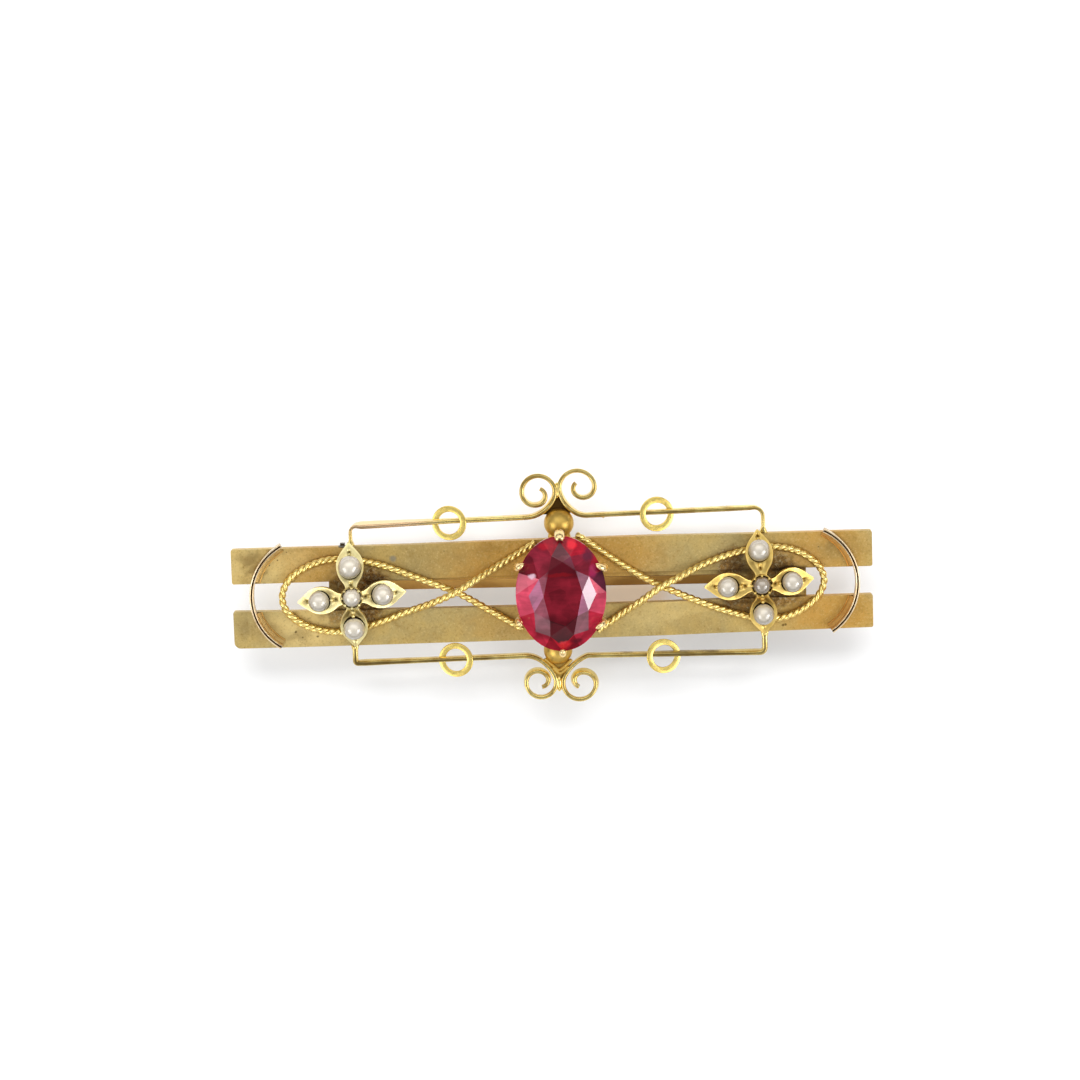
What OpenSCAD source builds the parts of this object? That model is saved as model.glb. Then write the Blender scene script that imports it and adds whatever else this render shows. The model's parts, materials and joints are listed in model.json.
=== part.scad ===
// Double bar brooch in bloomed yellow gold, with an oval brilliant-cut tourmaline in six claws,
// two seed pearl flowers, twisted wire loops and scrolled strip wires. Millimetres.
// +X runs along the bars, +Y across them and +Z out of the front. It lies on its back at Z = 0.

/* [Bars] */
// Length of both bars
bar_length = 55; // [54:0.5:58]
// Width of each bar
bar_width = 3; // [2.8:0.05:3.1]
// Thickness of each bar
bar_thick = 0.9; // [0.8:0.05:1]
// Open gap between the bars
bar_gap = 2.6; // [2.5:0.05:2.7]
// Height of the underside of the bars over the surface that the brooch lies on
bar_lift = 3; // [2.9:0.05:3.3]

/* [Stone] */
// Width of the stone at its girdle
stone_width = 7.7; // [7.4:0.1:8]
// Length of the stone at its girdle
stone_length = 9.9; // [9.6:0.1:10.2]
// Height of the girdle over the top of the bars
girdle_lift = 3.5; // [3.4:0.05:3.8]
// Height of the crown over the girdle
crown_height = 1.1; // [1:0.05:1.2]
// Depth of the pavilion under the girdle
pavilion_depth = 3.3; // [3:0.05:3.35]

/* [Flowers] */
// Angle at which the petals droop from the middle of a flower
droop = 22; // [20:0.5:23]
// Height of the middle of a flower over the top of the bars
flower_lift = 2.45; // [2.4:0.05:2.6]
// Greatest width of a petal
petal_width = 2.36; // [2.3:0.02:2.5]
// Thickness of the petal sheet
petal_thick = 0.4; // [0.3:0.05:0.45]

/* [Wires] */
// Width of the strip wire, seen from the front
strip_width = 0.38; // [0.3:0.02:0.42]
// Depth of the strip wire, from front to back
strip_depth = 0.8; // [0.7:0.05:0.9]
// Diameter of the twisted wire over both of its strands
rope_diameter = 0.62; // [0.56:0.01:0.66]
// Length of one full turn of the twist
rope_pitch = 1.2; // [1.2:0.1:1.6]

/* [Fittings] */
// Diameter of the pin stem
stem_diameter = 0.9; // [0.8:0.05:1]
// Distance between the outer faces of the two hinge cheeks
hinge_width = 4.6; // [4.4:0.1:5]

/* [Hidden] */
$fn = 48;

// Hairline between pieces that touch on the real brooch
hair = 0.03;
// Overlap between the parts of one soldered solid
weld = 0.05;

// Bars, seen from the front: corner radius, the same at the worn corner at the lower left,
// and Y of the middle of the gap
bar_corner = 0.18;
worn_corner = 0.55;
gap_middle = -0.125;
bar_top = bar_lift + bar_thick;
// How far the long edges of the bars stray from straight, as they were filed by hand.
// Columns: place as a share of half the length, shift of the low edge and shift of the high edge
PLACE = 0;
LOW = 1;
HIGH = 2;
UPPER_BAR = [
    [-1, -0.07, -0.06], [-0.45, -0.04, -0.07], [-0.1, 0, 0.05], [0.3, -0.01, 0.09], [0.55, -0.04, 0.03],
    [1, -0.09, 0]
];
LOWER_BAR = [
    [-1, -0.07, 0.14], [-0.75, -0.09, 0.02], [0, -0.05, -0.11], [0.35, 0, -0.08], [0.55, 0.07, 0],
    [1, 0.18, 0.05]
];

// Bridge straps behind the flowers: left end and right end along X
STRAPS = [
    [-19.2, -14.6],
    [15.4, 21.8]
];
STRAP_FROM = 0;
STRAP_TO = 1;
strap_thick = 0.5;
strap_reach = 3.6;
strap_bottom = bar_lift - strap_thick;
strap_top = bar_top - 0.3;
// Narrow tab of the left strap, whose end shows over the upper bar
tab_x = -17.95;
tab_width = 0.4;
tab_reach = 4.26;

// Y of the lower end of the raised part of a strap, inside the lower bar
strap_middle_reach = -1.7;

// Back rail: its section across the bars, as Y and Z, and its slight turn in plan
rail_turn = -0.6;
rail_bottom = bar_lift - 0.65;
RAIL_SECTION = [
    [1.6, rail_bottom],
    [1.6, bar_top - 0.4],
    [0.85, bar_top - 0.4],
    [0.72, bar_lift + 0.1],
    [-0.08, bar_lift - 0.25],
    [-0.08, rail_bottom]
];

// End arcs: centre X, centre Y and direction of the middle of the arc
ARC_LEFT = [-20.75, 0, 178.6];
ARC_RIGHT = [21.1, -0.13, 3.6];
arc_radius = 5.05;
arc_half_angle = 60;
arc_thick = 0.36;
arc_height = 1;
// Solder along the foot of an arc, on its inner side, where it lies on a bar
seam_width = 0.42;
seam_height = 0.16;
seam_half_angle = 54;
// How far the solder keeps from the edge of the bar at the gap
seam_clear = 0.15;

// Strip wires, seen in the quadrant of positive X and Y and then mirrored into their own.
// Each starts at its foot on the bar, turns a corner, runs inwards and ends in a scroll.
// Columns: X of the leg, Y of the corner, corner radius, rise of the run, X where the scroll starts
WIRE_LEG = 0;
WIRE_CORNER = 1;
WIRE_RADIUS = 2;
WIRE_RISE = 3;
WIRE_SCROLL = 4;
WIRE_UPPER_LEFT = [17.2, 5.87, 0.6, 1.1, 2.1];
WIRE_UPPER_RIGHT = [18.2, 6.42, 0.8, -1, 3.15];
WIRE_LOWER_LEFT = [17.15, 6.12, 0.2, -0.8, 2.55];
WIRE_LOWER_RIGHT = [18.15, 6.2, 0.4, -0.6, 3.05];
// Scrolls: bending radius and angle of each bend, from the wire to the tip
SCROLL_UPPER_LEFT = [[2.6, 30], [2.9, 30], [1.4, 210], [1.1, 115], [0.7, 130]];
SCROLL_UPPER_RIGHT = [[1.8, 32], [2.9, 43], [1.5, 182], [0.95, 150], [0.65, 95]];
SCROLL_LOWER_LEFT = [[2.3, 36], [3.4, 32], [1.3, 213], [1, 140], [0.65, 114]];
SCROLL_LOWER_RIGHT = [[1, 25], [4, 34], [1.45, 194], [1.1, 128], [0.7, 135]];
bend_step = 14;
strip_top = bar_top - 0.05;
strip_bottom = strip_top - strip_depth;

// Flat rings threaded on the strip wires: X and Y of the centre
RINGS_UPPER = [[-8.7, 5.85], [9.1, 6.1]];
RINGS_LOWER = [[-8.5, -6.1], [9.4, -6.3]];
ring_outer = 1.5;
ring_inner = 0.97;
ring_thick = 0.25;
ring_tilt = 12;
// Height of the rings' middles over the middle of the strip wires
ring_lift = 0.1;

// Gold balls: X, Y and radius, with the height of their middle
BALL_UPPER = [0.7, 5.57, 1.28];
BALL_LOWER = [0.32, -5.5, 1.24];
ball_lift = bar_lift + bar_thick / 2;
// Solder that joins a ball to the edge of the bar, as half its width and its thickness
ball_neck = 0.9;
neck_thick = 0.7;
web_thick = 0.5;
// Webs between each ball and its pair of scrolls: X and Y of the corners
WEB_UPPER = [[-0.75, 6.35], [2, 6.45], [0.65, 8.3]];
WEB_LOWER = [[-0.9, -6.25], [1.5, -6.4], [0.36, -8.1]];
// Solder between the backs of two scrolls: X, Y and radius, and how far it keeps from the wires' edges
SOLDER_UPPER = [0.64, 8.25, 0.3];
SOLDER_LOWER = [0.36, -8.4, 0.3];
solder_recess = 0.1;

// Routes of the twisted wires: X, Y and height of the middle over the top of the bars.
// A wire lies on the bars, rises where it crosses over itself and dips where it crosses under.
lie = hair + rope_diameter / 2;
over = lie + 0.52;
ramp = over - 0.1;
under = lie - 0.15;
ROUTE_LEFT = [
    [-1.4, 4, lie], [-4.4, 2.25, lie], [-6.6, 1, ramp], [-8.4, -0.05, over], [-10.4, -0.9, ramp],
    [-12.4, -1.6, lie], [-15.8, -2.75, lie], [-18.5, -3.2, lie], [-21, -2.7, lie], [-22.7, -1.5, lie],
    [-23.2, 0, lie], [-22.4, 1.6, lie], [-20.4, 2.75, lie], [-18.2, 3.1, lie], [-14.8, 2.5, lie],
    [-11.4, 1.2, lie], [-8.4, -0.05, under], [-5.8, -1.5, lie], [-2.7, -3.4, lie]
];
ROUTE_RIGHT = [
    [3.8, -3.75, lie], [5.8, -2.4, lie], [7.6, -1.2, ramp], [9.3, -0.05, over], [11.1, 0.85, ramp],
    [13.2, 1.8, lie], [16.2, 2.75, lie], [18.8, 3.05, lie], [21, 2.65, lie], [22.7, 1.5, lie],
    [23.3, 0, lie], [22.5, -1.6, lie], [20.4, -2.9, lie], [18, -3.15, lie], [15, -2.4, lie],
    [12, -1.25, lie], [9.3, -0.05, under], [6.6, 1.5, lie], [2.2, 4.6, lie]
];
rope_step = 0.2;
// Corners of the two-lobed rope section, and its waist as a share of the full radius
rope_corners = 6;
rope_waist = 0.55;

// Flowers: X and Y of the middle
FLOWER_LEFT = [-17.15, 0.02];
FLOWER_RIGHT = [17.85, 0.05];
// Petals, from the top one round to the right one.
// Columns: direction, reach of the tip, reach of the pearl and pearl diameter, all seen from the front
PETAL_TURN = 0;
PETAL_TIP = 1;
PETAL_PEARL = 2;
PEARL_SIZE = 3;
PETALS_LEFT = [
    [92.4, 4.6, 2.6, 1.98],
    [186.5, 4.8, 2.87, 1.8],
    [271.5, 4.6, 2.78, 1.86],
    [2, 4.62, 2.65, 1.86]
];
PETALS_RIGHT = [
    [92.8, 4.63, 2.95, 1.88],
    [183.5, 4.88, 2.9, 1.8],
    [273, 4.57, 2.6, 1.82],
    [2.9, 4.57, 2.65, 1.8]
];
TOP = 0;
LEFT = 1;
BOTTOM = 2;
RIGHT = 3;
// Petal outline: share of the petal's length and share of its half width
PETAL_OUTLINE = [
    [0, 0.4], [0.1, 0.48], [0.25, 0.8], [0.38, 0.96], [0.5, 1], [0.62, 0.94],
    [0.74, 0.74], [0.86, 0.42], [0.94, 0.2], [1, 0.05]
];
petal_root = 0.75;
pearl_proud = 0.35;
pearl_clear = 0.04;
grain_radius = 0.17;
grain_clear = 0.04;
collet_radius = 0.92;
// Height of the collet's rim over the middle of its pearl
collet_rise = 0.1;
centre_pearl = 1.56;
centre_pearl_lift = bar_top + flower_lift - 0.25;
collet_bottom = centre_pearl_lift - centre_pearl / 2 - 0.4;
post_radius = 0.5;

// Stone, seen from the front
STONE_CENTRE = [0.69, 0.1];
half_width = stone_width / 2;
half_length = stone_length / 2;
girdle_z = bar_top + girdle_lift;
girdle_thick = 0.22;
// Distance that the table keeps from the girdle, and where the star facets end on the crown
table_inset = 2.25;
star_share = 0.42;
// How far the middle of the table is off the middle of the girdle
TABLE_SHIFT = [0.17, 0.13];
// Share of the pavilion depth that the lower girdle facets reach down
lower_share = 0.75;
mains = 8;

// Claws. Columns: place round the girdle as the angle of an ellipse, share of the full reach
// over the stone and width of the bent end against the wire
CLAW_PLACE = 0;
CLAW_REACH = 1;
CLAW_WIDTH = 2;
CLAWS = [
    [24, 1, 1.3],
    [90, 0.8, 1.6],
    [152.5, 0.75, 1.3],
    [206, 0.5, 1],
    [270, 0.7, 1.1],
    [330, 1, 1.2]
];
// Claw shape: distance outside the girdle, height over the girdle and wire radius
CLAW_SHAPE = [
    [-1.1, -3.25, 0.3],
    [-0.55, -2.1, 0.28],
    [0, -1.05, 0.27],
    [0.28, -0.3, 0.26],
    [0.29, 0.15, 0.25],
    [0.12, 0.52, 0.26],
    [-0.2, 0.68, 0.26],
    [-0.48, 0.7, 0.18]
];
CLAW_OUT = 0;
CLAW_UP = 1;
CLAW_RADIUS = 2;
claw_sides = 8;
// Distance outside the girdle where the claws bend over, height over it where they begin to,
// and how strongly the bent ends turn to lie across the brooch
claw_bend = 0.29;
claw_bend_from = -0.9;
claw_level = 0.75;
// Gallery ring under the girdle and base ring on the bars: inset of the middle, half width and height
gallery_inset = 0.36;
gallery_half = 0.23;
gallery_top = girdle_z - 0.7;
gallery_height = 0.5;
base_inset = 1.1;
base_half = 0.3;
base_height = 0.6;
ring_steps = 48;

// Pin fitting, on a line across the back
pin_y = 0.25;
hinge_x = 17.5;
catch_x = -16.6;
fitting_top = strap_bottom - hair;
fitting_plate = 0.5;
HINGE_PLATE = [3.6, hinge_width + 0.6];
cheek_thick = 0.6;
cheek_length = 2;
cheek_foot = 0.9;
barrel_radius = 0.7;
stem_z = 1.2;
stem_tip_x = -18.8;
stem_taper = 2.4;
catch_radius = 1.2;
catch_wall = 0.42;
catch_width = 2.2;
// The stem presses against the closed side of the hook
catch_y = pin_y + catch_radius - catch_wall - stem_diameter / 2 + weld;
CATCH_PLATE = [2.8, 3.4];
catch_mouth = [-25, 55];

gold = "#bba05f";
bright_gold = "#e3cf86";
rose_gold = "#c79a6e";
pearl_white = "#d8d0c8";
stone_red = "#c4143c";

// Vectors
function unit(v) = v / norm(v);
function mixed(a, b, share) = a + (b - a) * share;

// Points of a run of bends. Each row holds a radius and an angle, and turns to the left if side is 1.
function bend_point(p, heading, radius, side, angle) =
    p + side * radius * ([-sin(heading), cos(heading)]
        + [sin(heading + side * angle), -cos(heading + side * angle)]);
function bends(rows, p, heading, side, i = 0) =
    i == len(rows) ? [p] :
    let (
        radius = rows[i][0],
        angle = rows[i][1],
        steps = ceil(angle / bend_step)
    )
    concat(
        [for (k = [0:steps - 1]) bend_point(p, heading, radius, side, angle * k / steps)],
        bends(rows, bend_point(p, heading, radius, side, angle), heading + side * angle, side, i + 1)
    );

// Y of the high edge of the upper bar and of the low edge of the lower bar
function bar_middle(side) = gap_middle + side * (bar_gap + bar_width) / 2;
function stray(bar, x, column) =
    lookup(x, [for (row = bar) [row[PLACE] * bar_length / 2, row[column]]]);
function top_edge(x) = bar_middle(1) + bar_width / 2 + stray(UPPER_BAR, x, HIGH);
function bottom_edge(x) = bar_middle(-1) - bar_width / 2 + stray(LOWER_BAR, x, LOW);
function outer_edge(x, side) = side > 0 ? top_edge(x) : bottom_edge(x);

// Quarter circle inside a corner of a bar, from the given angle on
function rounded(corner, start, radius = bar_corner) =
    let (middle = corner - radius * sqrt(2) * [cos(start + 45), sin(start + 45)])
    [for (turn = [0:15:90]) middle + radius * [cos(start + turn), sin(start + turn)]];

// Middle line of a strip wire, from its foot to the tip of its scroll, in the positive quadrant
function wire_line(wire, scroll, foot) =
    let (
        heading = 180 - wire[WIRE_RISE],
        corner_start = [wire[WIRE_LEG], wire[WIRE_CORNER] - wire[WIRE_RADIUS]],
        corner = bends([[wire[WIRE_RADIUS], heading - 90]], corner_start, 90, 1),
        corner_end = corner[len(corner) - 1],
        run = (corner_end.x - wire[WIRE_SCROLL]) / cos(wire[WIRE_RISE]),
        scroll_start = corner_end + run * [cos(heading), sin(heading)]
    )
    concat([[wire[WIRE_LEG], foot]], corner, bends(scroll, scroll_start, heading, -1));

// Outline of a strip of even width along a line of points
function line_normal(line, i) =
    let (step = unit(line[min(i + 1, len(line) - 1)] - line[max(i - 1, 0)]))
    [-step.y, step.x];
function strip_outline(line, width) = concat(
    [for (i = [0:len(line) - 1]) line[i] + line_normal(line, i) * width / 2],
    [for (i = [len(line) - 1:-1:0]) line[i] - line_normal(line, i) * width / 2]
);

// Smooth curve through the points of a route
function route_point(p, i, t) =
    let (
        a = p[max(i - 1, 0)],
        b = p[i],
        c = p[i + 1],
        d = p[min(i + 2, len(p) - 1)]
    )
    0.5 * (2 * b + (c - a) * t + (2 * a - 5 * b + 4 * c - d) * t * t + (3 * b - a - 3 * c + d) * t * t * t);
function route_line(p, step) = concat(
    [
        for (i = [0:len(p) - 2])
            let (pieces = max(1, round(norm(p[i + 1] - p[i]) / step)))
            for (k = [0:pieces - 1]) route_point(p, i, k / pieces) + [0, 0, bar_top]
    ],
    [p[len(p) - 1] + [0, 0, bar_top]]
);
function run_lengths(line) =
    let (last = len(line) - 1)
    [for (i = 0, run = 0; i <= last; run = run + norm(line[min(i + 1, last)] - line[i]), i = i + 1) run];

// Places and facets of the stone, with its middle at the origin
function girdle_point(angle) = [half_width * cos(angle), half_length * sin(angle)];
function girdle_normal(angle) = unit([cos(angle) / half_width, sin(angle) / half_length]);
function main_angle(i) = 360 * i / mains;
function main_reach(i) = girdle_point(main_angle(i)) * girdle_normal(main_angle(i));
// Point where two neighbouring main facets meet, at the given distances from the middle
function facet_corner(i, reach_a, reach_b) =
    let (
        a = girdle_normal(main_angle(i)),
        b = girdle_normal(main_angle(i + 1)),
        spread = a.x * b.y - a.y * b.x
    )
    [(reach_a * b.y - reach_b * a.y) / spread, (reach_b * a.x - reach_a * b.x) / spread];
function at_height(p, z) = [p.x, p.y, z];

// Petals lie in their own plane, which is turned about the middle of the flower
function petal_slope(reach) = reach / cos(droop);
function pearl_along(petal) = (petal[PETAL_PEARL] - pearl_proud * sin(droop)) / cos(droop);
function in_petal(flower, petal, along, out) =
    let (
        reach = along * cos(droop) + out * sin(droop),
        fall = along * sin(droop) - out * cos(droop)
    )
    [
        flower.x + reach * cos(petal[PETAL_TURN]),
        flower.y + reach * sin(petal[PETAL_TURN]),
        bar_top + flower_lift - fall
    ];

// Closed tube through rings of points, whose ends are flat
module skin(points, corners) {
    last = len(points) / corners - 1;
    sides = [
        for (i = [0:last - 1], j = [0:corners - 1])
            let (
                a = i * corners + j,
                b = i * corners + (j + 1) % corners,
                c = b + corners,
                d = a + corners
            )
            each [[a, d, c], [a, c, b]]
    ];
    caps = [
        [for (j = [0:corners - 1]) j],
        [for (j = [corners - 1:-1:0]) last * corners + j]
    ];
    polyhedron(points, concat(sides, caps), convexity = 10);
}

// Box given by its lowest and highest corners
module block(low, high) {
    translate(low)
        cube(high - low);
}

module bar_plan(side) {
    strays = side > 0 ? UPPER_BAR : LOWER_BAR;
    low = bar_middle(side) - bar_width / 2;
    high = low + bar_width;
    end = bar_length / 2;
    last = len(strays) - 1;
    polygon(concat(
        rounded([end, low + strays[last][LOW]], -90),
        rounded([end, high + strays[last][HIGH]], 0),
        [for (i = [last - 1:-1:1]) [end * strays[i][PLACE], high + strays[i][HIGH]]],
        rounded([-end, high + strays[0][HIGH]], 90),
        rounded([-end, low + strays[0][LOW]], 180, side < 0 ? worn_corner : bar_corner),
        [for (i = [1:last - 1]) [end * strays[i][PLACE], low + strays[i][LOW]]]
    ));
}

module strap(row) {
    block([row[STRAP_FROM], -strap_reach, strap_bottom], [row[STRAP_TO], strap_reach, bar_lift + weld]);
    block(
        [row[STRAP_FROM], strap_middle_reach, bar_lift - weld],
        [row[STRAP_TO], -strap_middle_reach, strap_top]
    );
}

module back_rail() {
    start = STRAPS[0][STRAP_TO] - weld;
    end = STRAPS[1][STRAP_FROM] + weld;
    rotate([0, 0, rail_turn])
        translate([start, 0, 0])
            rotate([90, 0, 90])
                linear_extrude(end - start)
                    polygon(RAIL_SECTION);
}

module base_bars() {
    color(gold)
        union() {
            for (side = [-1, 1])
                translate([0, 0, bar_lift])
                    linear_extrude(bar_thick)
                        bar_plan(side);
            for (row = STRAPS)
                strap(row);
            back_rail();
            block(
                [tab_x - tab_width / 2, strap_reach - weld, strap_bottom],
                [tab_x + tab_width / 2, tab_reach, bar_lift + weld]
            );
        }
}

// Part of a flat ring between two radii, over the given angle to each side of an end arc's middle
module arc_band(arc, inner, outer, half_angle) {
    reach = outer + 1;
    translate([arc.x, arc.y])
        rotate(arc.z)
            intersection() {
                difference() {
                    circle(outer, $fn = 96);
                    circle(inner, $fn = 96);
                }
                polygon([
                    [0, 0],
                    [reach * cos(half_angle), -reach * sin(half_angle)],
                    [2 * reach, 0],
                    [reach * cos(half_angle), reach * sin(half_angle)]
                ]);
            }
}

module end_arc(arc) {
    inner = arc_radius - arc_thick / 2;
    color(bright_gold)
        translate([0, 0, bar_top + hair])
            union() {
                linear_extrude(arc_height)
                    arc_band(arc, inner, arc_radius + arc_thick / 2, arc_half_angle);
                linear_extrude(seam_height)
                    difference() {
                        arc_band(arc, inner - seam_width, inner + weld, seam_half_angle);
                        translate([arc.x, gap_middle])
                            square([3 * arc_radius, bar_gap + 2 * seam_clear], center = true);
                    }
            }
}

module strip_wire(wire, scroll, side_x, side_y) {
    foot = side_y * outer_edge(side_x * wire[WIRE_LEG], side_y) + hair;
    line = [for (p = wire_line(wire, scroll, foot)) [side_x * p.x, side_y * p.y]];
    translate([0, 0, strip_bottom])
        linear_extrude(strip_depth)
            polygon(strip_outline(line, strip_width));
}

// Flat ring whose side towards the stone lies over the wire, and the other side under it
module flat_ring(place) {
    lean = place.x < 0 ? -ring_tilt : ring_tilt;
    translate([place.x, place.y, (strip_top + strip_bottom) / 2 + ring_lift])
        rotate([0, lean, 0])
            difference() {
                cylinder(h = ring_thick, r = ring_outer, center = true);
                cylinder(h = 3 * ring_thick, r = ring_inner, center = true);
            }
}

// Ball filed flat where it would touch the edge of the bar, with the solder between them
module ball(place, radius, side) {
    start = outer_edge(place.x, side) + side * hair;
    neck = abs(place.y - start);
    difference() {
        translate([place.x, place.y, ball_lift])
            sphere(radius);
        translate([place.x, start - side * radius, ball_lift])
            cube(2 * radius, center = true);
    }
    translate([place.x, start, ball_lift])
        rotate([-side * 90, 0, 0])
            linear_extrude(neck)
                square([2 * ball_neck, neck_thick], center = true);
}

module web(corners) {
    translate([0, 0, ball_lift - web_thick / 2])
        linear_extrude(web_thick)
            polygon(corners);
}

module solder(spot) {
    translate([spot.x, spot.y, strip_bottom + solder_recess])
        cylinder(h = strip_depth - 2 * solder_recess, r = spot.z, $fn = 24);
}

module wire_frame_upper() {
    color(bright_gold)
        union() {
            strip_wire(WIRE_UPPER_LEFT, SCROLL_UPPER_LEFT, -1, 1);
            strip_wire(WIRE_UPPER_RIGHT, SCROLL_UPPER_RIGHT, 1, 1);
            for (place = RINGS_UPPER)
                flat_ring(place);
            ball(BALL_UPPER, BALL_UPPER.z, 1);
            web(WEB_UPPER);
            solder(SOLDER_UPPER);
        }
}

module wire_frame_lower() {
    color(bright_gold)
        union() {
            strip_wire(WIRE_LOWER_LEFT, SCROLL_LOWER_LEFT, -1, -1);
            strip_wire(WIRE_LOWER_RIGHT, SCROLL_LOWER_RIGHT, 1, -1);
            for (place = RINGS_LOWER)
                flat_ring(place);
            ball(BALL_LOWER, BALL_LOWER.z, -1);
            web(WEB_LOWER);
            solder(SOLDER_LOWER);
        }
}

// Two strands side by side have a two-lobed section, which turns about the middle line
module rope(route) {
    line = route_line(route, rope_step);
    runs = run_lengths(line);
    last = len(line) - 1;
    points = [
        for (i = [0:last])
            let (
                ahead = unit(line[min(i + 1, last)] - line[max(i - 1, 0)]),
                side = unit(cross([0, 0, 1], ahead)),
                up = cross(ahead, side),
                twist = 360 * runs[i] / rope_pitch
            )
            for (j = [0:rope_corners - 1])
                let (
                    angle = 360 * j / rope_corners,
                    radius = rope_diameter / 2 * mixed(rope_waist, 1, abs(cos(angle)))
                )
                line[i] + radius * (side * cos(angle - twist) + up * sin(angle - twist))
    ];
    color(bright_gold)
        skin(points, rope_corners);
}

module petal(row) {
    start = petal_slope(petal_root);
    length = petal_slope(row[PETAL_TIP]) - start;
    half = petal_width / 2;
    last = len(PETAL_OUTLINE) - 1;
    outline = concat(
        [for (i = [0:last]) [start + length * PETAL_OUTLINE[i][0], -half * PETAL_OUTLINE[i][1]]],
        [for (i = [last:-1:0]) [start + length * PETAL_OUTLINE[i][0], half * PETAL_OUTLINE[i][1]]]
    );
    translate([0, 0, -petal_thick])
        linear_extrude(petal_thick)
            polygon(outline);
    grain_reach = row[PEARL_SIZE] / 2 + grain_radius + grain_clear;
    for (side = [-1, 1])
        translate([pearl_along(row) + side * grain_reach, 0, 0])
            sphere(grain_radius, $fn = 16);
}

module flower(place, rows) {
    color(bright_gold)
        difference() {
            union() {
                for (row = rows)
                    translate([place.x, place.y, bar_top + flower_lift])
                        rotate([0, droop, row[PETAL_TURN]])
                            petal(row);
                translate([place.x, place.y, collet_bottom])
                    cylinder(h = centre_pearl_lift + collet_rise - collet_bottom, r = collet_radius);
                translate([place.x, place.y, strap_top + hair])
                    cylinder(h = collet_bottom + weld - strap_top - hair, r = post_radius);
            }
            translate([place.x, place.y, centre_pearl_lift - centre_pearl / 2 - pearl_clear])
                cylinder(h = 2 * centre_pearl, r = centre_pearl / 2 + pearl_clear);
            for (row = rows)
                translate(in_petal(place, row, pearl_along(row), pearl_proud))
                    sphere(row[PEARL_SIZE] / 2 + pearl_clear);
        }
}

module petal_pearl(place, row) {
    color(pearl_white)
        translate(in_petal(place, row, pearl_along(row), pearl_proud))
            sphere(row[PEARL_SIZE] / 2);
}

module middle_pearl(place) {
    color(pearl_white)
        translate([place.x, place.y, centre_pearl_lift])
            sphere(centre_pearl / 2);
}

// Oval ring of even width at a given inset from the girdle
module oval_ring(inset, half, height) {
    function oval(offset) = [
        for (i = [0:ring_steps - 1])
            girdle_point(360 * i / ring_steps) + offset * girdle_normal(360 * i / ring_steps)
    ];
    linear_extrude(height)
        difference() {
            polygon(oval(half - inset));
            polygon(oval(-half - inset));
        }
}

// Share of the bend at a row of the claw shape, and the middle of the claw there
function bent(row) = min(1, max(0, row[CLAW_UP] - claw_bend_from));
function claw_point(claw, row) =
    let (
        foot = girdle_point(claw[CLAW_PLACE]),
        out = girdle_normal(claw[CLAW_PLACE]),
        inwards = (claw_bend - row[CLAW_OUT]) * mixed(1, claw[CLAW_REACH], bent(row)),
        level = sign(foot.y) * claw_level * abs(out.x) * inwards * bent(row)
    )
    at_height(foot + (claw_bend - inwards) * out + [0, level], girdle_z + row[CLAW_UP]);

module claw(claw) {
    out = girdle_normal(claw[CLAW_PLACE]);
    side = [-out.y, out.x, 0];
    line = [for (row = CLAW_SHAPE) claw_point(claw, row)];
    last = len(line) - 1;
    points = [
        for (i = [0:last])
            let (
                ahead = unit(line[min(i + 1, last)] - line[max(i - 1, 0)]),
                up = unit(cross(ahead, side)),
                wide = mixed(1, claw[CLAW_WIDTH], bent(CLAW_SHAPE[i]))
            )
            for (j = [0:claw_sides - 1])
                let (turn = 360 * j / claw_sides)
                line[i] + CLAW_SHAPE[i][CLAW_RADIUS] * (wide * side * cos(turn) + up * sin(turn))
    ];
    skin(points, claw_sides);
}

module claw_setting() {
    color(rose_gold)
        translate([STONE_CENTRE.x, STONE_CENTRE.y, 0])
            union() {
                translate([0, 0, bar_top + hair])
                    oval_ring(base_inset, base_half, base_height);
                translate([0, 0, gallery_top - gallery_height])
                    oval_ring(gallery_inset, gallery_half, gallery_height);
                for (row = CLAWS)
                    claw(row);
            }
}

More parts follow.
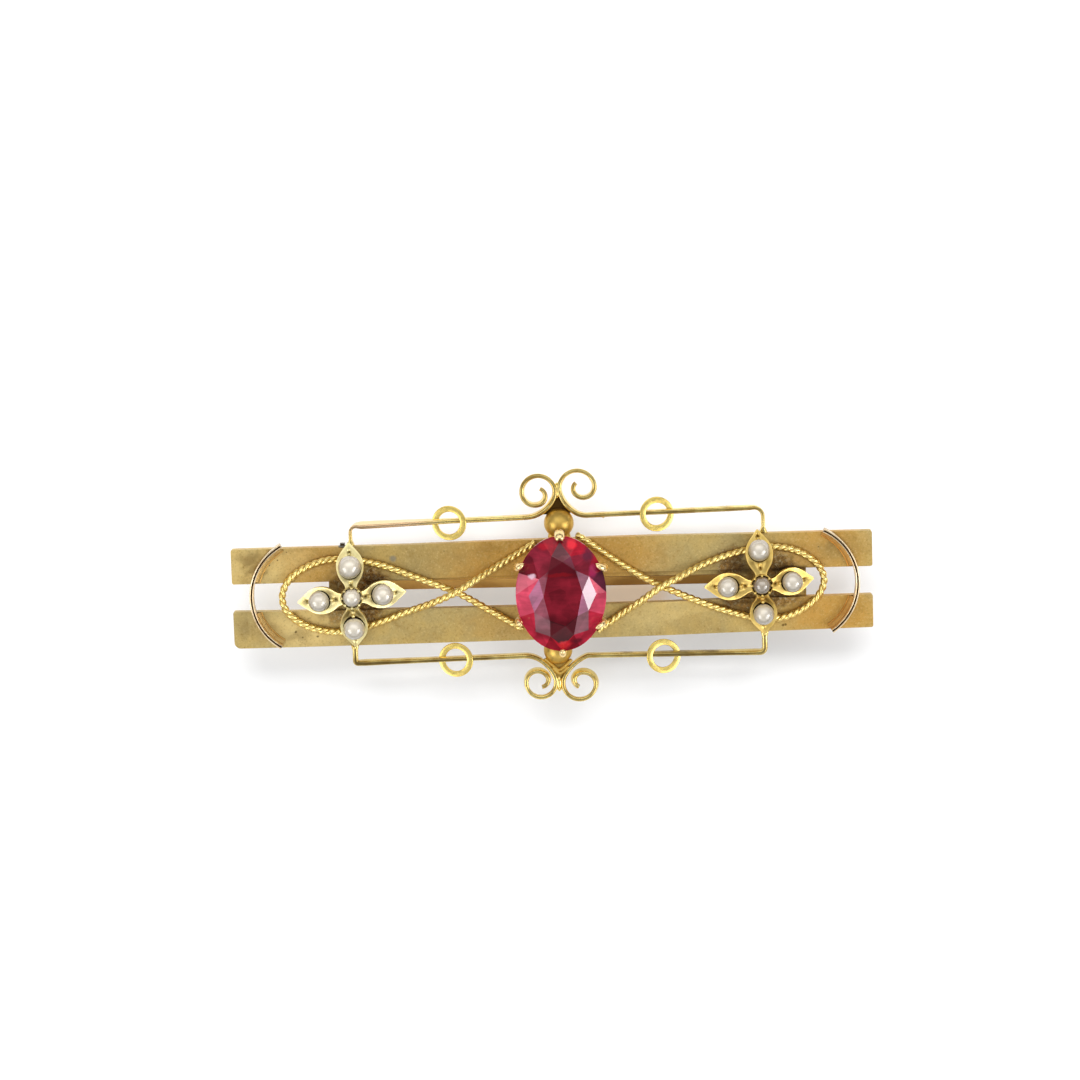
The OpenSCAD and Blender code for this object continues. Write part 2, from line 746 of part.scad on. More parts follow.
// Oval brilliant with a table, eight mains, eight stars and sixteen girdle facets over the girdle,
// and eight mains and sixteen girdle facets under it
module tourmaline() {
    top = girdle_z + girdle_thick / 2;
    bottom = girdle_z - girdle_thick / 2;
    star_inset = table_inset * (1 - star_share);
    table = [
        for (i = [0:mains - 1])
            at_height(
                girdle_point(main_angle(i)) - table_inset * girdle_normal(main_angle(i)) + TABLE_SHIFT,
                top + crown_height
            )
    ];
    stars = [
        for (i = [0:mains - 1])
            at_height(
                facet_corner(i, main_reach(i) - star_inset, main_reach(i + 1) - star_inset)
                    + TABLE_SHIFT * (1 - star_share),
                top + crown_height * (1 - star_share)
            )
    ];
    upper = [for (i = [0:2 * mains - 1]) at_height(girdle_point(180 * i / mains), top)];
    lower = [for (i = [0:2 * mains - 1]) at_height(girdle_point(180 * i / mains), bottom)];
    left_over = 1 - lower_share;
    pavilion = [
        for (i = [0:mains - 1])
            at_height(
                facet_corner(i, main_reach(i) * left_over, main_reach(i + 1) * left_over),
                bottom - pavilion_depth * lower_share
            )
    ];
    culet = [0, 0, bottom - pavilion_depth];
    // First number of each group of points
    t = 0;
    s = mains;
    u = 2 * mains;
    l = 4 * mains;
    p = 6 * mains;
    c = 7 * mains;
    faces = concat(
        [[for (i = [mains - 1:-1:0]) t + i]],
        [
            for (i = [0:mains - 1])
                let (
                    next = (i + 1) % mains,
                    before = (i + mains - 1) % mains,
                    wide = 2 * i,
                    wide_next = (2 * i + 2) % (2 * mains)
                )
                each [
                    [t + next, s + i, t + i],
                    [s + i, u + wide, s + before, t + i],
                    [u + wide + 1, u + wide, s + i],
                    [u + wide_next, u + wide + 1, s + i],
                    [u + wide, u + wide + 1, l + wide + 1, l + wide],
                    [u + wide + 1, u + wide_next, l + wide_next, l + wide + 1],
                    [p + i, l + wide, l + wide + 1],
                    [p + i, l + wide + 1, l + wide_next],
                    [c, p + before, l + wide, p + i]
                ]
        ]
    );
    color(stone_red)
        translate([STONE_CENTRE.x, STONE_CENTRE.y, 0])
            polyhedron(concat(table, stars, upper, lower, pavilion, [culet]), faces);
}

// Upright cheek of the hinge, with a flat foot
module cheek(y) {
    translate([hinge_x, y + cheek_thick / 2, 0])
        rotate([90, 0, 0])
            linear_extrude(cheek_thick)
                polygon([
                    [-cheek_length / 2, fitting_top - weld],
                    [-cheek_length / 2, barrel_radius],
                    [-cheek_foot / 2, 0],
                    [cheek_foot / 2, 0],
                    [cheek_length / 2, barrel_radius],
                    [cheek_length / 2, fitting_top - weld]
                ]);
}

module hinge() {
    block(
        [hinge_x - HINGE_PLATE.x / 2, pin_y - HINGE_PLATE.y / 2, fitting_top - fitting_plate],
        [hinge_x + HINGE_PLATE.x / 2, pin_y + HINGE_PLATE.y / 2, fitting_top]
    );
    for (side = [-1, 1])
        cheek(pin_y + side * (hinge_width - cheek_thick) / 2);
    translate([hinge_x, pin_y, stem_z])
        rotate([90, 0, 0])
            cylinder(h = hinge_width - cheek_thick, r = barrel_radius, center = true);
}

module stem() {
    translate([hinge_x, pin_y, stem_z])
        rotate([0, -90, 0])
            cylinder(h = hinge_x - stem_tip_x - stem_taper, d = stem_diameter, $fn = 32);
    translate([stem_tip_x + stem_taper, pin_y, stem_z])
        rotate([0, -90, 0])
            cylinder(h = stem_taper, d1 = stem_diameter, d2 = stem_diameter / 4, $fn = 32);
}

// Hook that the pin stem rests in, open on one side
module catch_hook() {
    block(
        [catch_x - CATCH_PLATE.x / 2, pin_y - CATCH_PLATE.y / 2, fitting_top - fitting_plate],
        [catch_x + CATCH_PLATE.x / 2, pin_y + CATCH_PLATE.y / 2, fitting_top]
    );
    translate([catch_x, catch_y, catch_radius])
        rotate([90, 0, 90])
            linear_extrude(catch_width, center = true)
                difference() {
                    circle(catch_radius);
                    circle(catch_radius - catch_wall);
                    polygon([
                        [0, 0],
                        2 * catch_radius * [cos(catch_mouth[0]), sin(catch_mouth[0])],
                        2 * catch_radius * [cos(catch_mouth[1]), sin(catch_mouth[1])]
                    ]);
                }
}

module pin_fitting() {
    color(rose_gold)
        union() {
            hinge();
            stem();
            catch_hook();
        }
}

base_bars();
wire_frame_upper();
wire_frame_lower();
end_arc(ARC_LEFT);  // end_arc_left
end_arc(ARC_RIGHT);  // end_arc_right
rope(ROUTE_LEFT);  // rope_left
rope(ROUTE_RIGHT);  // rope_right
flower(FLOWER_LEFT, PETALS_LEFT);  // flower_left
flower(FLOWER_RIGHT, PETALS_RIGHT);  // flower_right
claw_setting();
tourmaline();
middle_pearl(FLOWER_LEFT);  // pearl_left_centre
petal_pearl(FLOWER_LEFT, PETALS_LEFT[TOP]);  // pearl_left_top
petal_pearl(FLOWER_LEFT, PETALS_LEFT[LEFT]);  // pearl_left_left
petal_pearl(FLOWER_LEFT, PETALS_LEFT[RIGHT]);  // pearl_left_right
petal_pearl(FLOWER_LEFT, PETALS_LEFT[BOTTOM]);  // pearl_left_bottom
middle_pearl(FLOWER_RIGHT);  // pearl_right_centre
petal_pearl(FLOWER_RIGHT, PETALS_RIGHT[TOP]);  // pearl_right_top
petal_pearl(FLOWER_RIGHT, PETALS_RIGHT[LEFT]);  // pearl_right_left
petal_pearl(FLOWER_RIGHT, PETALS_RIGHT[RIGHT]);  // pearl_right_right
petal_pearl(FLOWER_RIGHT, PETALS_RIGHT[BOTTOM]);  // pearl_right_bottom
pin_fitting();
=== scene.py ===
# Looks of the tourmaline brooch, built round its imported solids.
# Tables are in millimetres, in the same frame as the solids, and MM turns them into metres.

import json
import math

import bmesh
import bpy
import numpy as np
from mathutils import Matrix, Vector

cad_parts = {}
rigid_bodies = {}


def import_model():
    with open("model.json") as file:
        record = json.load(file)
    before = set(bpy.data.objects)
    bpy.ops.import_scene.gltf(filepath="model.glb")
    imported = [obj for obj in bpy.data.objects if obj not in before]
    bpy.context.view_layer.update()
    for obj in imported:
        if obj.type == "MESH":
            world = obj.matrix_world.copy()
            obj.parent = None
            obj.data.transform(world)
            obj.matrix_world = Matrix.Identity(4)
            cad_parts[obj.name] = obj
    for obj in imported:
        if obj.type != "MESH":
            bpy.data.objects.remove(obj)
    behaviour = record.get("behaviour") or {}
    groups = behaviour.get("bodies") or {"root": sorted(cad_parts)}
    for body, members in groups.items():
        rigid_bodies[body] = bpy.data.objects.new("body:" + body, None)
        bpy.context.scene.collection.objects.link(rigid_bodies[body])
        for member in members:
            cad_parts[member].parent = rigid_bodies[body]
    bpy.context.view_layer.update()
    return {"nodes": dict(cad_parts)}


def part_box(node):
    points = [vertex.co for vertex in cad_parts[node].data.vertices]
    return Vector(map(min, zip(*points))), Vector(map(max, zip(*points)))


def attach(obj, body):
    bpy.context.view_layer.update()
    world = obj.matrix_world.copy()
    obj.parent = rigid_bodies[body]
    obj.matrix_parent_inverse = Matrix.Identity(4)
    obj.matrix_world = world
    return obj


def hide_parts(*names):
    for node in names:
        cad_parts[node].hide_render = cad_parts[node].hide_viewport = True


MM = 0.001
for leftover in list(bpy.data.objects):
    bpy.data.objects.remove(leftover)
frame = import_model()
nodes = frame["nodes"]


# Places taken from the frame

def extent(node):
    """Middle and size of a node."""
    low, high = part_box(node)
    return np.array((low + high) / 2) / MM, np.array(high - low) / MM


# Distance from the gap's middle that parts a bar's near edge from its far one
MIDDLE_OF_BAR = 3


def long_edges():
    """Corners of the bars' top faces along each long edge, by side and by near or far from the gap."""
    bars = nodes["base_bars"]
    points = np.array([bars.matrix_world @ v.co for v in bars.data.vertices]) / MM
    points = points[np.abs(points[:, 2] - points[:, 2].max()) < 0.01]
    points = points[np.argsort(points[:, 0])]
    edges = {}
    for side in (-1, 1):
        on_side = points[points[:, 1] * side > 0]
        far = np.abs(on_side[:, 1]) > MIDDLE_OF_BAR
        edges[side, "near"] = on_side[~far]
        edges[side, "far"] = on_side[far]
    return edges


BAR_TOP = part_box("base_bars")[1].z / MM
EDGES = long_edges()


def edge_at(x, side, place):
    """Y of a long edge of a bar at the given X."""
    edge = EDGES[side, place]
    return np.interp(x, edge[:, 0], edge[:, 1])


# Hairline between pieces, and height of the middle, depth and width of the strip wires
HAIR = 0.03
WIRE_Z = BAR_TOP - 0.45
WIRE_DEPTH = 0.8
WIRE_WIDTH = 0.38


# Vectors and lines of points

UP = np.array([0, 0, 1.0])


def unit(v):
    return v / np.linalg.norm(v, axis=-1, keepdims=True)


def heading(degrees):
    return np.array([math.cos(math.radians(degrees)), math.sin(math.radians(degrees))])


def resampled(line, step):
    """The same line with points at an even distance."""
    line = np.array(line, float)
    run = np.concatenate([[0], np.cumsum(np.linalg.norm(np.diff(line, axis=0), axis=1))])
    places = np.linspace(0, run[-1], max(2, round(run[-1] / step)) + 1)
    return np.stack([np.interp(places, run, line[:, k]) for k in range(line.shape[1])], axis=1)


def smooth_route(points, pieces=24):
    """Catmull-Rom curve through the points."""
    p = np.array([points[0], *points, points[-1]], float)
    t = np.linspace(0, 1, pieces, endpoint=False)[:, None]
    parts = []
    for a, b, c, d in zip(p, p[1:], p[2:], p[3:]):
        bend = 2 * a - 5 * b + 4 * c - d
        turn = 3 * b - a - 3 * c + d
        parts.append(0.5 * (2 * b + (c - a) * t + bend * t**2 + turn * t**3))
    return np.concatenate([*parts, [p[-1]]])


def along(line):
    """Direction of a line at each of its points."""
    return unit(np.gradient(line, axis=0))


def frames(line):
    """Side and up directions across a line that never stands upright."""
    ahead = along(line)
    side = unit(np.cross(UP, ahead))
    return side, np.cross(ahead, side)


def wander(count, seed, waves):
    """Slow random waver between about -1 and 1, the same in each run."""
    rng = np.random.default_rng(seed)
    t = np.linspace(0, 1, count)
    total = np.zeros(count)
    for k in range(1, waves + 1):
        total += rng.uniform(-1, 1) / k * np.sin(2 * math.pi * (k * t + rng.uniform()))
    return total


# Meshes as plain lists of vertices and faces

def loft(rings, closed=False):
    """Skin through rings of points. A closed loft joins its last ring to its first."""
    rings = np.array(rings, float)
    count, size = rings.shape[:2]
    faces = []
    for i in range(count if closed else count - 1):
        a, b = i * size, (i + 1) % count * size
        for j in range(size):
            k = (j + 1) % size
            faces.append((a + j, a + k, b + k, b + j))
    if not closed:
        faces.append(tuple(reversed(range(size))))
        faces.append(tuple(range((count - 1) * size, count * size)))
    return rings.reshape(-1, 3), faces


def soiled_and_shaded(part, dirt_and_shade):
    """The part with a share of dirt and painted shade at each vertex."""
    return part[0], part[1], np.broadcast_to(dirt_and_shade, len(part[0]))


def joined(parts):
    verts, faces, dirt_and_shade, start = [], [], [], 0
    for part in parts:
        verts.append(part[0])
        faces += [tuple(i + start for i in face) for face in part[1]]
        dirt_and_shade.append(part[2] if len(part) > 2 else np.zeros(len(part[0])))
        start += len(part[0])
    return np.concatenate(verts), faces, np.concatenate(dirt_and_shade)


def round_section(radius, sides):
    turn = np.arange(sides) * 2 * math.pi / sides
    return radius * np.stack([np.cos(turn), np.sin(turn)], axis=1)


def strip_section(width, depth, corner):
    """Rectangle with rounded corners."""
    points = []
    for quarter, (x, y) in enumerate([(1, 1), (-1, 1), (-1, -1), (1, -1)]):
        middle = np.array([x * (width / 2 - corner), y * (depth / 2 - corner)])
        for angle in np.linspace(0, 90, 5):
            points.append(middle + corner * heading(90 * quarter + angle))
    return np.array(points)


def section_at(place, across, up, section):
    """Section with its first column along one direction and its second one along the other."""
    return place + section[:, :1] * across + section[:, 1:2] * up


def swept(line, section, scale=(1, 1), twist=0.0):
    """Section carried along a line. Its first column lies across the line and its second one stands up."""
    side, up = frames(line)
    scale = np.broadcast_to(scale, (len(line), 2))
    turn = np.radians(np.broadcast_to(twist, len(line)))[:, None]
    across = (side * np.cos(turn) + up * np.sin(turn)) * scale[:, :1]
    upright = (up * np.cos(turn) - side * np.sin(turn)) * scale[:, 1:]
    return loft([section_at(*row, section) for row in zip(line, across, upright)])


def ball_mesh(centre, radii, fineness):
    bm = bmesh.new()
    bmesh.ops.create_icosphere(bm, subdivisions=fineness, radius=1)
    verts = np.array([v.co for v in bm.verts]) * radii + centre
    faces = [tuple(v.index for v in face.verts) for face in bm.faces]
    bm.free()
    return verts, faces


def placed(name, data):
    """New object in the scene."""
    obj = bpy.data.objects.new(name, data)
    bpy.context.scene.collection.objects.link(obj)
    return obj


def piece(name, parts, material, replaced=(), sharp=None):
    """Object of the brooch from parts in millimetres."""
    verts, faces, dirt_and_shade = joined(parts)
    mesh = bpy.data.meshes.new(name)
    mesh.from_pydata(np.array(verts) * MM, [], faces)
    bm = bmesh.new()
    bm.from_mesh(mesh)
    bmesh.ops.recalc_face_normals(bm, faces=bm.faces)
    bm.to_mesh(mesh)
    bm.free()
    mesh.materials.append(material)
    mesh.attributes.new("dirt_and_shade", "FLOAT", "POINT").data.foreach_set("value", dirt_and_shade.astype(np.float32))
    mesh.shade_smooth()
    if sharp:
        mesh.set_sharp_from_angle(angle=math.radians(sharp))
    obj = placed(name, mesh)
    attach(obj, "root")
    if replaced:
        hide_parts(*replaced)
    return obj


# Materials

def srgb(red, green, blue):
    """Colour from the usual 0 to 255 numbers."""
    def linear(c):
        c /= 255
        return c / 12.92 if c <= 0.04045 else ((c + 0.055) / 1.055) ** 2.4
    return (linear(red), linear(green), linear(blue), 1)


class Nodes:
    """Short ways to add nodes to a material or to the world."""

    def __init__(self, owner, shader="Principled BSDF", place="Object"):
        owner.use_nodes = True
        self.owner = owner
        self.tree = owner.node_tree
        self.shader = self.tree.nodes[shader]
        self.place = self.add("TexCoord").outputs[place]
        # Colour that paint is laid over
        self.colour = None

    def connect(self, value, socket):
        if isinstance(value, bpy.types.NodeSocket):
            self.tree.links.new(value, socket)
        else:
            socket.default_value = value

    def add(self, kind, inputs=None, **settings):
        node = self.tree.nodes.new("ShaderNode" + kind)
        for key, value in settings.items():
            setattr(node, key, value)
        for key, value in (inputs or {}).items():
            self.connect(value, node.inputs[key])
        return node

    def set(self, **values):
        for key, value in values.items():
            self.connect(value, self.shader.inputs[key.replace("_", " ")])

    def noise(self, per_mm, detail=3, roughness=0.5, place=None, output="Fac"):
        place = place or self.place
        inputs = {"Vector": place, "Scale": per_mm / MM, "Detail": detail, "Roughness": roughness}
        return self.add("TexNoise", inputs).outputs[output]

    def ramp(self, value, low, high, out_low=0.0, out_high=1.0):
        inputs = {0: value, 1: low, 2: high, 3: out_low, 4: out_high}
        return self.add("MapRange", inputs, interpolation_type="SMOOTHSTEP").outputs["Result"]

    def math(self, operation, a, b=0.0):
        return self.add("Math", {0: a, 1: b}, operation=operation).outputs[0]

    def times(self, a, b):
        return self.math("MULTIPLY", a, b)

    def vector(self, operation, a, b, key=1):
        return self.add("VectorMath", {0: a, key: b}, operation=operation).outputs[0]

    def height(self):
        return self.add("SeparateXYZ", {0: self.place}).outputs["Z"]

    def on_mesh(self, name, output="Fac"):
        """Value that the mesh holds under the name."""
        return self.add("Attribute", attribute_name=name).outputs[output]

    def mix(self, share, a, b):
        """Mix of two colours, whose sockets come after those for numbers and vectors."""
        return self.add("Mix", {0: share, 6: a, 7: b}, data_type="RGBA").outputs[2]

    def cover(self, share, paint):
        """Lays a share of the paint over the colour so far."""
        self.colour = self.mix(share, self.colour, paint)

    def bump(self, height, depth_mm, strength=1.0, under=None):
        inputs = {"Height": height, "Distance": depth_mm * MM, "Strength": strength}
        if under:
            inputs["Normal"] = under
        return self.add("Bump", inputs).outputs["Normal"]

    def spot(self, x, y, reach_x, reach_y, soft=0.5, waver=0.0):
        """One inside an ellipse on the front, and nought outside. Reach is its half size."""
        place = self.place
        if waver:
            shift = self.vector("SUBTRACT", self.noise(1.3, 4, output="Color"), (0.5, 0.5, 0.5))
            place = self.vector("ADD", place, self.vector("SCALE", shift, waver * MM, "Scale"))
        inputs = {
            "Vector": place,
            "Location": (-x / reach_x, -y / reach_y, 0),
            "Scale": (1 / (reach_x * MM), 1 / (reach_y * MM), 0),
        }
        mapped = self.add("Mapping", inputs).outputs["Vector"]
        distance = self.add("VectorMath", {0: mapped}, operation="LENGTH").outputs["Value"]
        return self.ramp(distance, 1 + soft / 2, 1 - soft / 2)

    def most(self, values):
        total = values[0]
        for value in values[1:]:
            total = self.math("MAXIMUM", total, value)
        return total

    def spots(self, rows, soft, waver):
        """Strongest of the spots at each place. Rows: X, Y, half size along X and Y, and strength."""
        return self.most([self.times(self.spot(*row, soft, waver), share) for *row, share in rows])


# Spots on the bars: X, Y, half size along X and Y, and strength. First the brown stains.
STAINS = [
    [-25.9, 3.1, 0.9, 0.7, 0.55], [-25.3, 2.2, 0.8, 0.4, 0.5], [-21.9, -3.5, 1.1, 0.4, 0.35],
    [24.2, 3.0, 0.9, 0.5, 0.3], [-5.5, 3.6, 0.9, 0.4, 0.25], [-26.6, -2.6, 0.5, 0.9, 0.3],
]
# Dirt round the flowers, with painted shade under the petals
DIRT_AND_SHADE = [
    [-15.6, 1.0, 1.5, 1.5, 0.9], [-18.2, 0.9, 1.0, 1.0, 0.7], [-15.9, -1.5, 1.3, 1.0, 0.85],
    [-18.7, -1.6, 1.2, 0.8, 0.6], [15.3, 1.6, 1.3, 1.4, 0.8], [18.9, 1.5, 1.9, 1.2, 0.75],
    [15.9, -1.5, 1.5, 1.1, 0.8], [19.4, -1.4, 1.8, 0.9, 0.75],
]
# Painted shadow with dirt, darkest along the edges of the straps
STRAP_SHADOW_AND_DIRT = [
    [20.45, 1.04, 1.6, 0.3, 0.8], [16.4, 1.26, 0.9, 0.5, 0.55], [-15.4, 1.25, 0.8, 0.5, 0.45],
    [21.6, -0.3, 0.25, 0.9, 0.5], [15.9, 1.85, 0.6, 0.8, 0.5], [15.3, -1.55, 0.9, 0.45, 0.45],
    [19.6, -1.0, 1.1, 0.35, 0.5],
]
# Duller gold
DULL = [
    [-10.5, 2.9, 3.5, 1.5, 0.55], [-24.8, -3.2, 1.2, 0.8, 0.45], [12.2, -3.7, 2.6, 0.9, 0.35],
    [-11.0, -3.8, 2.2, 0.8, 0.3], [-6.0, -3.0, 3.0, 1.2, 0.25], [24.7, 2.7, 1.6, 1.0, 0.6],
]
# Warmer, browner gold near the wires' ends and in the middle
WARM = [
    [-4.5, 2.3, 5, 2.6, 0.8], [5.5, 2.6, 4, 2.4, 0.7], [23.5, 2.8, 3.5, 2.6, 0.7],
    [24.0, -3.0, 4.0, 2.2, 0.85], [-20.5, 2.6, 3.0, 2.2, 0.7], [-4.0, -3.0, 3.5, 1.6, 0.4],
]
# Dark casting pits: X, Y and radius
PITS = [
    [-23.75, 3.3, 0.07], [-23.5, 3.1, 0.06], [-24.2, 2.64, 0.05], [-22.17, -3.18, 0.1], [-20.3, -3.6, 0.09],
    [-21.6, -3.66, 0.06], [19.72, -3.85, 0.12], [19.95, -3.8, 0.1], [22.9, 2.9, 0.05], [-22.7, 3.8, 0.05],
    [-9.2, 3.5, 0.05],
]
# Paler gold, rubbed brighter near the ends
PALE = [
    [-25.5, 2.6, 3.5, 1.8, 0.55], [-21.8, 2.8, 1.6, 1.2, 0.4], [-21.6, -2.9, 3.4, 1.8, 0.75],
    [9.0, -2.2, 3.5, 1.4, 0.35],
]
# A grey stain, and the end of the left strap, which has no strength
GREY_STAIN = [-13.6, 2.95, 0.28, 0.28, 0.7]
TAB_END = [-17.9, 4.3, 0.5, 0.28]
# Back rail: height under which it is brown, heights between which it grows lighter as painted shading,
# and how far from the middle it reaches
RAIL_TOP = 3.47
RAIL_DARK = 2.8
RAIL_LIGHT = 3.2
RAIL_REACH = 1.05


def bloomed_gold():
    """Matte yellow gold with grain, brown tarnish and pits, and painted shade in its crevices, round the
    flowers, along the straps and on the back rail.
    """
    m = Nodes(bpy.data.materials.new("bloomed_gold"))
    clouds = m.noise(0.22, 4, 0.55)
    m.colour = srgb(214, 184, 112)
    m.cover(m.ramp(clouds, 0.38, 0.62), srgb(198, 176, 118))
    m.cover(m.spots(WARM, 1.2, 2.0), srgb(212, 162, 80))
    m.cover(m.spots(PALE, 1.2, 1.6), srgb(244, 216, 146))
    m.cover(m.spots(DULL, 1.2, 1.6), srgb(178, 150, 92))
    blotch = m.ramp(m.noise(0.9, 5, 0.6), 0.5, 0.72, 0, 0.4)
    m.cover(blotch, srgb(176, 142, 76))
    specks = m.noise(6, 3, 0.7)
    m.cover(m.ramp(specks, 0.54, 0.7, 0, 0.45), srgb(236, 212, 150))
    m.cover(m.ramp(specks, 0.46, 0.3, 0, 0.45), srgb(150, 112, 54))
    m.cover(m.spots(STAINS, 1.2, 1.6), srgb(128, 96, 48))
    m.cover(m.spots([GREY_STAIN], 1.0, 0.3), srgb(142, 140, 128))
    flecks = m.ramp(m.noise(2.6, 5, 0.8), 0.46, 0.57)
    crust = m.ramp(m.noise(3.4, 5, 0.85), 0.54, 0.59, 0, 0.9)
    grime_and_shade = m.mix(crust, m.mix(flecks, srgb(104, 66, 28), srgb(176, 130, 70)), srgb(208, 196, 160))
    m.cover(m.spots(DIRT_AND_SHADE, 0.9, 2.0), grime_and_shade)
    m.cover(m.spots(STRAP_SHADOW_AND_DIRT, 0.8, 0.8), srgb(66, 44, 24))
    pits = m.most([m.spot(x, y, radius, radius, 1.0, 0.2) for x, y, radius in PITS])
    m.cover(m.times(pits, 0.8), srgb(88, 64, 30))
    m.cover(m.spot(*TAB_END, 0.2), srgb(88, 82, 70))
    # Painted shade with tarnish: browner where little open air reaches, in corners and beside the wires
    open_air = m.add("AmbientOcclusion", {"Distance": 0.5 * MM}, samples=8).outputs["AO"]
    corners = m.ramp(open_air, 0.75, 0.35)
    m.cover(m.times(corners, 0.7), srgb(108, 66, 24))
    # Back rail: browner, painted lighter towards its top as shading, and darker towards the right
    axes = m.add("SeparateXYZ", {0: m.place}).outputs
    low = m.ramp(axes["Z"], RAIL_TOP * MM, (RAIL_TOP - 0.06) * MM)
    near = m.ramp(m.math("ABSOLUTE", axes["Y"]), RAIL_REACH * MM, (RAIL_REACH - 0.05) * MM)
    rail = m.mix(m.ramp(axes["Z"], RAIL_DARK * MM, RAIL_LIGHT * MM), srgb(200, 156, 88), srgb(216, 174, 98))
    rail = m.mix(m.ramp(axes["X"], 2 * MM, 6 * MM, 0, 0.5), rail, srgb(116, 76, 30))
    m.cover(m.times(low, near), rail)
    m.set(
        Base_Color=m.colour,
        Metallic=1.0,
        Roughness=m.ramp(m.noise(2.2, 4, 0.6), 0.3, 0.7, 0.44, 0.56),
        Normal=m.bump(m.noise(9, 4, 0.7), 0.03, 0.5, m.bump(m.noise(0.5, 2), 0.12, 0.35)),
    )
    return m.owner


GRIME_AND_SHADE = srgb(66, 42, 16)


def bright_gold(name, high, low, roughness, dull, grime_and_shade=GRIME_AND_SHADE, rough=0.35, rosy=()):
    """Worn, polished gold, a little browner where it wasn't rubbed, with dirt and painted shade where the
    mesh says so.
    """
    m = Nodes(bpy.data.materials.new(name))
    worn = m.ramp(m.noise(0.8, 4, 0.6), 0.4, 0.65)
    m.colour = srgb(*high)
    m.cover(m.times(worn, dull), srgb(*low))
    brown = m.ramp(m.noise(2.1, 5, 0.7), 0.62, 0.78, 0, 0.4 * dull)
    m.cover(brown, srgb(132, 94, 42))
    for row in rosy:
        m.cover(m.spot(*row, 0.8), srgb(255, 218, 172))
    # Dirt and painted shade that the mesh holds
    dirt_and_shade = m.on_mesh("dirt_and_shade")
    m.cover(dirt_and_shade, grime_and_shade)
    wear = m.ramp(m.noise(3.0, 4, 0.6), 0.3, 0.7, roughness, roughness + 0.12)
    m.set(
        Base_Color=m.colour,
        Metallic=1.0,
        Roughness=m.math("ADD", wear, m.times(dirt_and_shade, 0.35)),
        Normal=m.bump(m.noise(5, 3, 0.6), 0.02, rough),
    )
    return m.owner


def nacre():
    """Pearl, greyer and browner where the mesh holds dirt and painted shade, towards its rim and seat."""
    m = Nodes(bpy.data.materials.new("pearl"))
    clouds = m.ramp(m.noise(1.2, 3), 0.35, 0.65)
    m.colour = srgb(190, 181, 163)
    m.cover(clouds, srgb(176, 168, 154))
    dirt_and_shade = m.on_mesh("dirt_and_shade")
    m.cover(dirt_and_shade, srgb(92, 74, 54))
    m.set(
        Base_Color=m.colour,
        Roughness=0.3,
        Coat_Weight=1.0,
        Coat_Roughness=0.1,
        Coat_IOR=2.0,
        Normal=m.bump(m.noise(2.5, 3), 0.015, 0.4),
    )
    return m.owner


# Painted highlights and shade in the stone, as small bright and dark marks: X, Y, half size along X and Y,
# strength and colour
STONE_PAINTED_LIGHTS = [
    [-1.72, 1.73, 0.32, 0.2, 0.9, (238, 200, 218)], [1.7, 4.35, 0.35, 0.4, 0.9, (232, 42, 58)],
    [0.88, -4.25, 0.5, 0.3, 0.9, (248, 50, 62)], [-0.7, 4.2, 0.5, 0.3, 0.6, (190, 28, 44)],
    [3.06, 3.45, 0.45, 0.55, 0.8, (94, 38, 58)], [-1.92, 3.1, 0.4, 0.35, 0.8, (92, 18, 32)],
    [2.0, -3.96, 0.4, 0.22, 0.8, (104, 26, 38)], [0.5, 2.5, 1.4, 0.75, 0.75, (94, 20, 32)],
    [3.45, 2.1, 0.35, 0.55, 0.8, (168, 46, 92)], [0.55, 1.9, 1.1, 0.18, 0.6, (142, 20, 28)],
    [-0.6, -3.2, 0.9, 0.5, 0.6, (96, 20, 30)],
]
# Height of the stone's table, and how much brighter than paper the studio makes the stone
TABLE_Z = BAR_TOP + 4.71
GLOW = 1.7


def in_stone(colour):
    """Colour that shows as the given one under that light."""
    return tuple(channel / GLOW for channel in srgb(*colour)[:3]) + (1,)


def gem(name, gloss):
    """Polished stone whose facets each have a painted tone standing in for the light it returns, the table
    painted lighter across the middle, with faint bands and painted glints.
    """
    m = Nodes(bpy.data.materials.new(name))
    tone = m.on_mesh("tone", "Color")
    stretched = m.add("Mapping", {"Vector": m.place, "Scale": (0.2, 1, 0.4)}).outputs["Vector"]
    bands = m.ramp(m.noise(2.6, 3, 0.6, stretched), 0.35, 0.65, 0.9, 1.1)
    clouds = m.ramp(m.noise(0.6, 2, 0.5), 0.35, 0.65, 0.8, 1.2)
    # Painted glints of the facets underneath, and the table painted lighter across its middle
    cells = m.add("TexVoronoi", {"Vector": m.place, "Scale": 0.9 / MM}).outputs["Color"]
    painted_glints = m.ramp(m.add("SeparateColor", {0: cells}).outputs["Red"], 0.1, 0.9, 0.87, 1.15)
    on_table = m.ramp(m.height(), (TABLE_Z - 0.03) * MM, (TABLE_Z - 0.01) * MM)
    middle = m.ramp(m.spot(0.75, -0.05, 4.5, 1.75, 0.9), 0, 1, 0.5, 1.08)
    middle = m.math("ADD", 1, m.times(on_table, m.math("SUBTRACT", middle, 1)))
    light = m.times(m.times(bands, clouds), m.times(middle, painted_glints))
    m.colour = m.vector("SCALE", tone, light, "Scale")
    for *row, share, mark in STONE_PAINTED_LIGHTS:
        m.cover(m.times(m.spot(*row, 0.9, 0.5), share), in_stone(mark))
    m.set(
        Base_Color=m.colour,
        Roughness=0.03,
        IOR=1.63,
        Specular_IOR_Level=gloss,
    )
    return m.owner


GOLD_BARS = bloomed_gold()
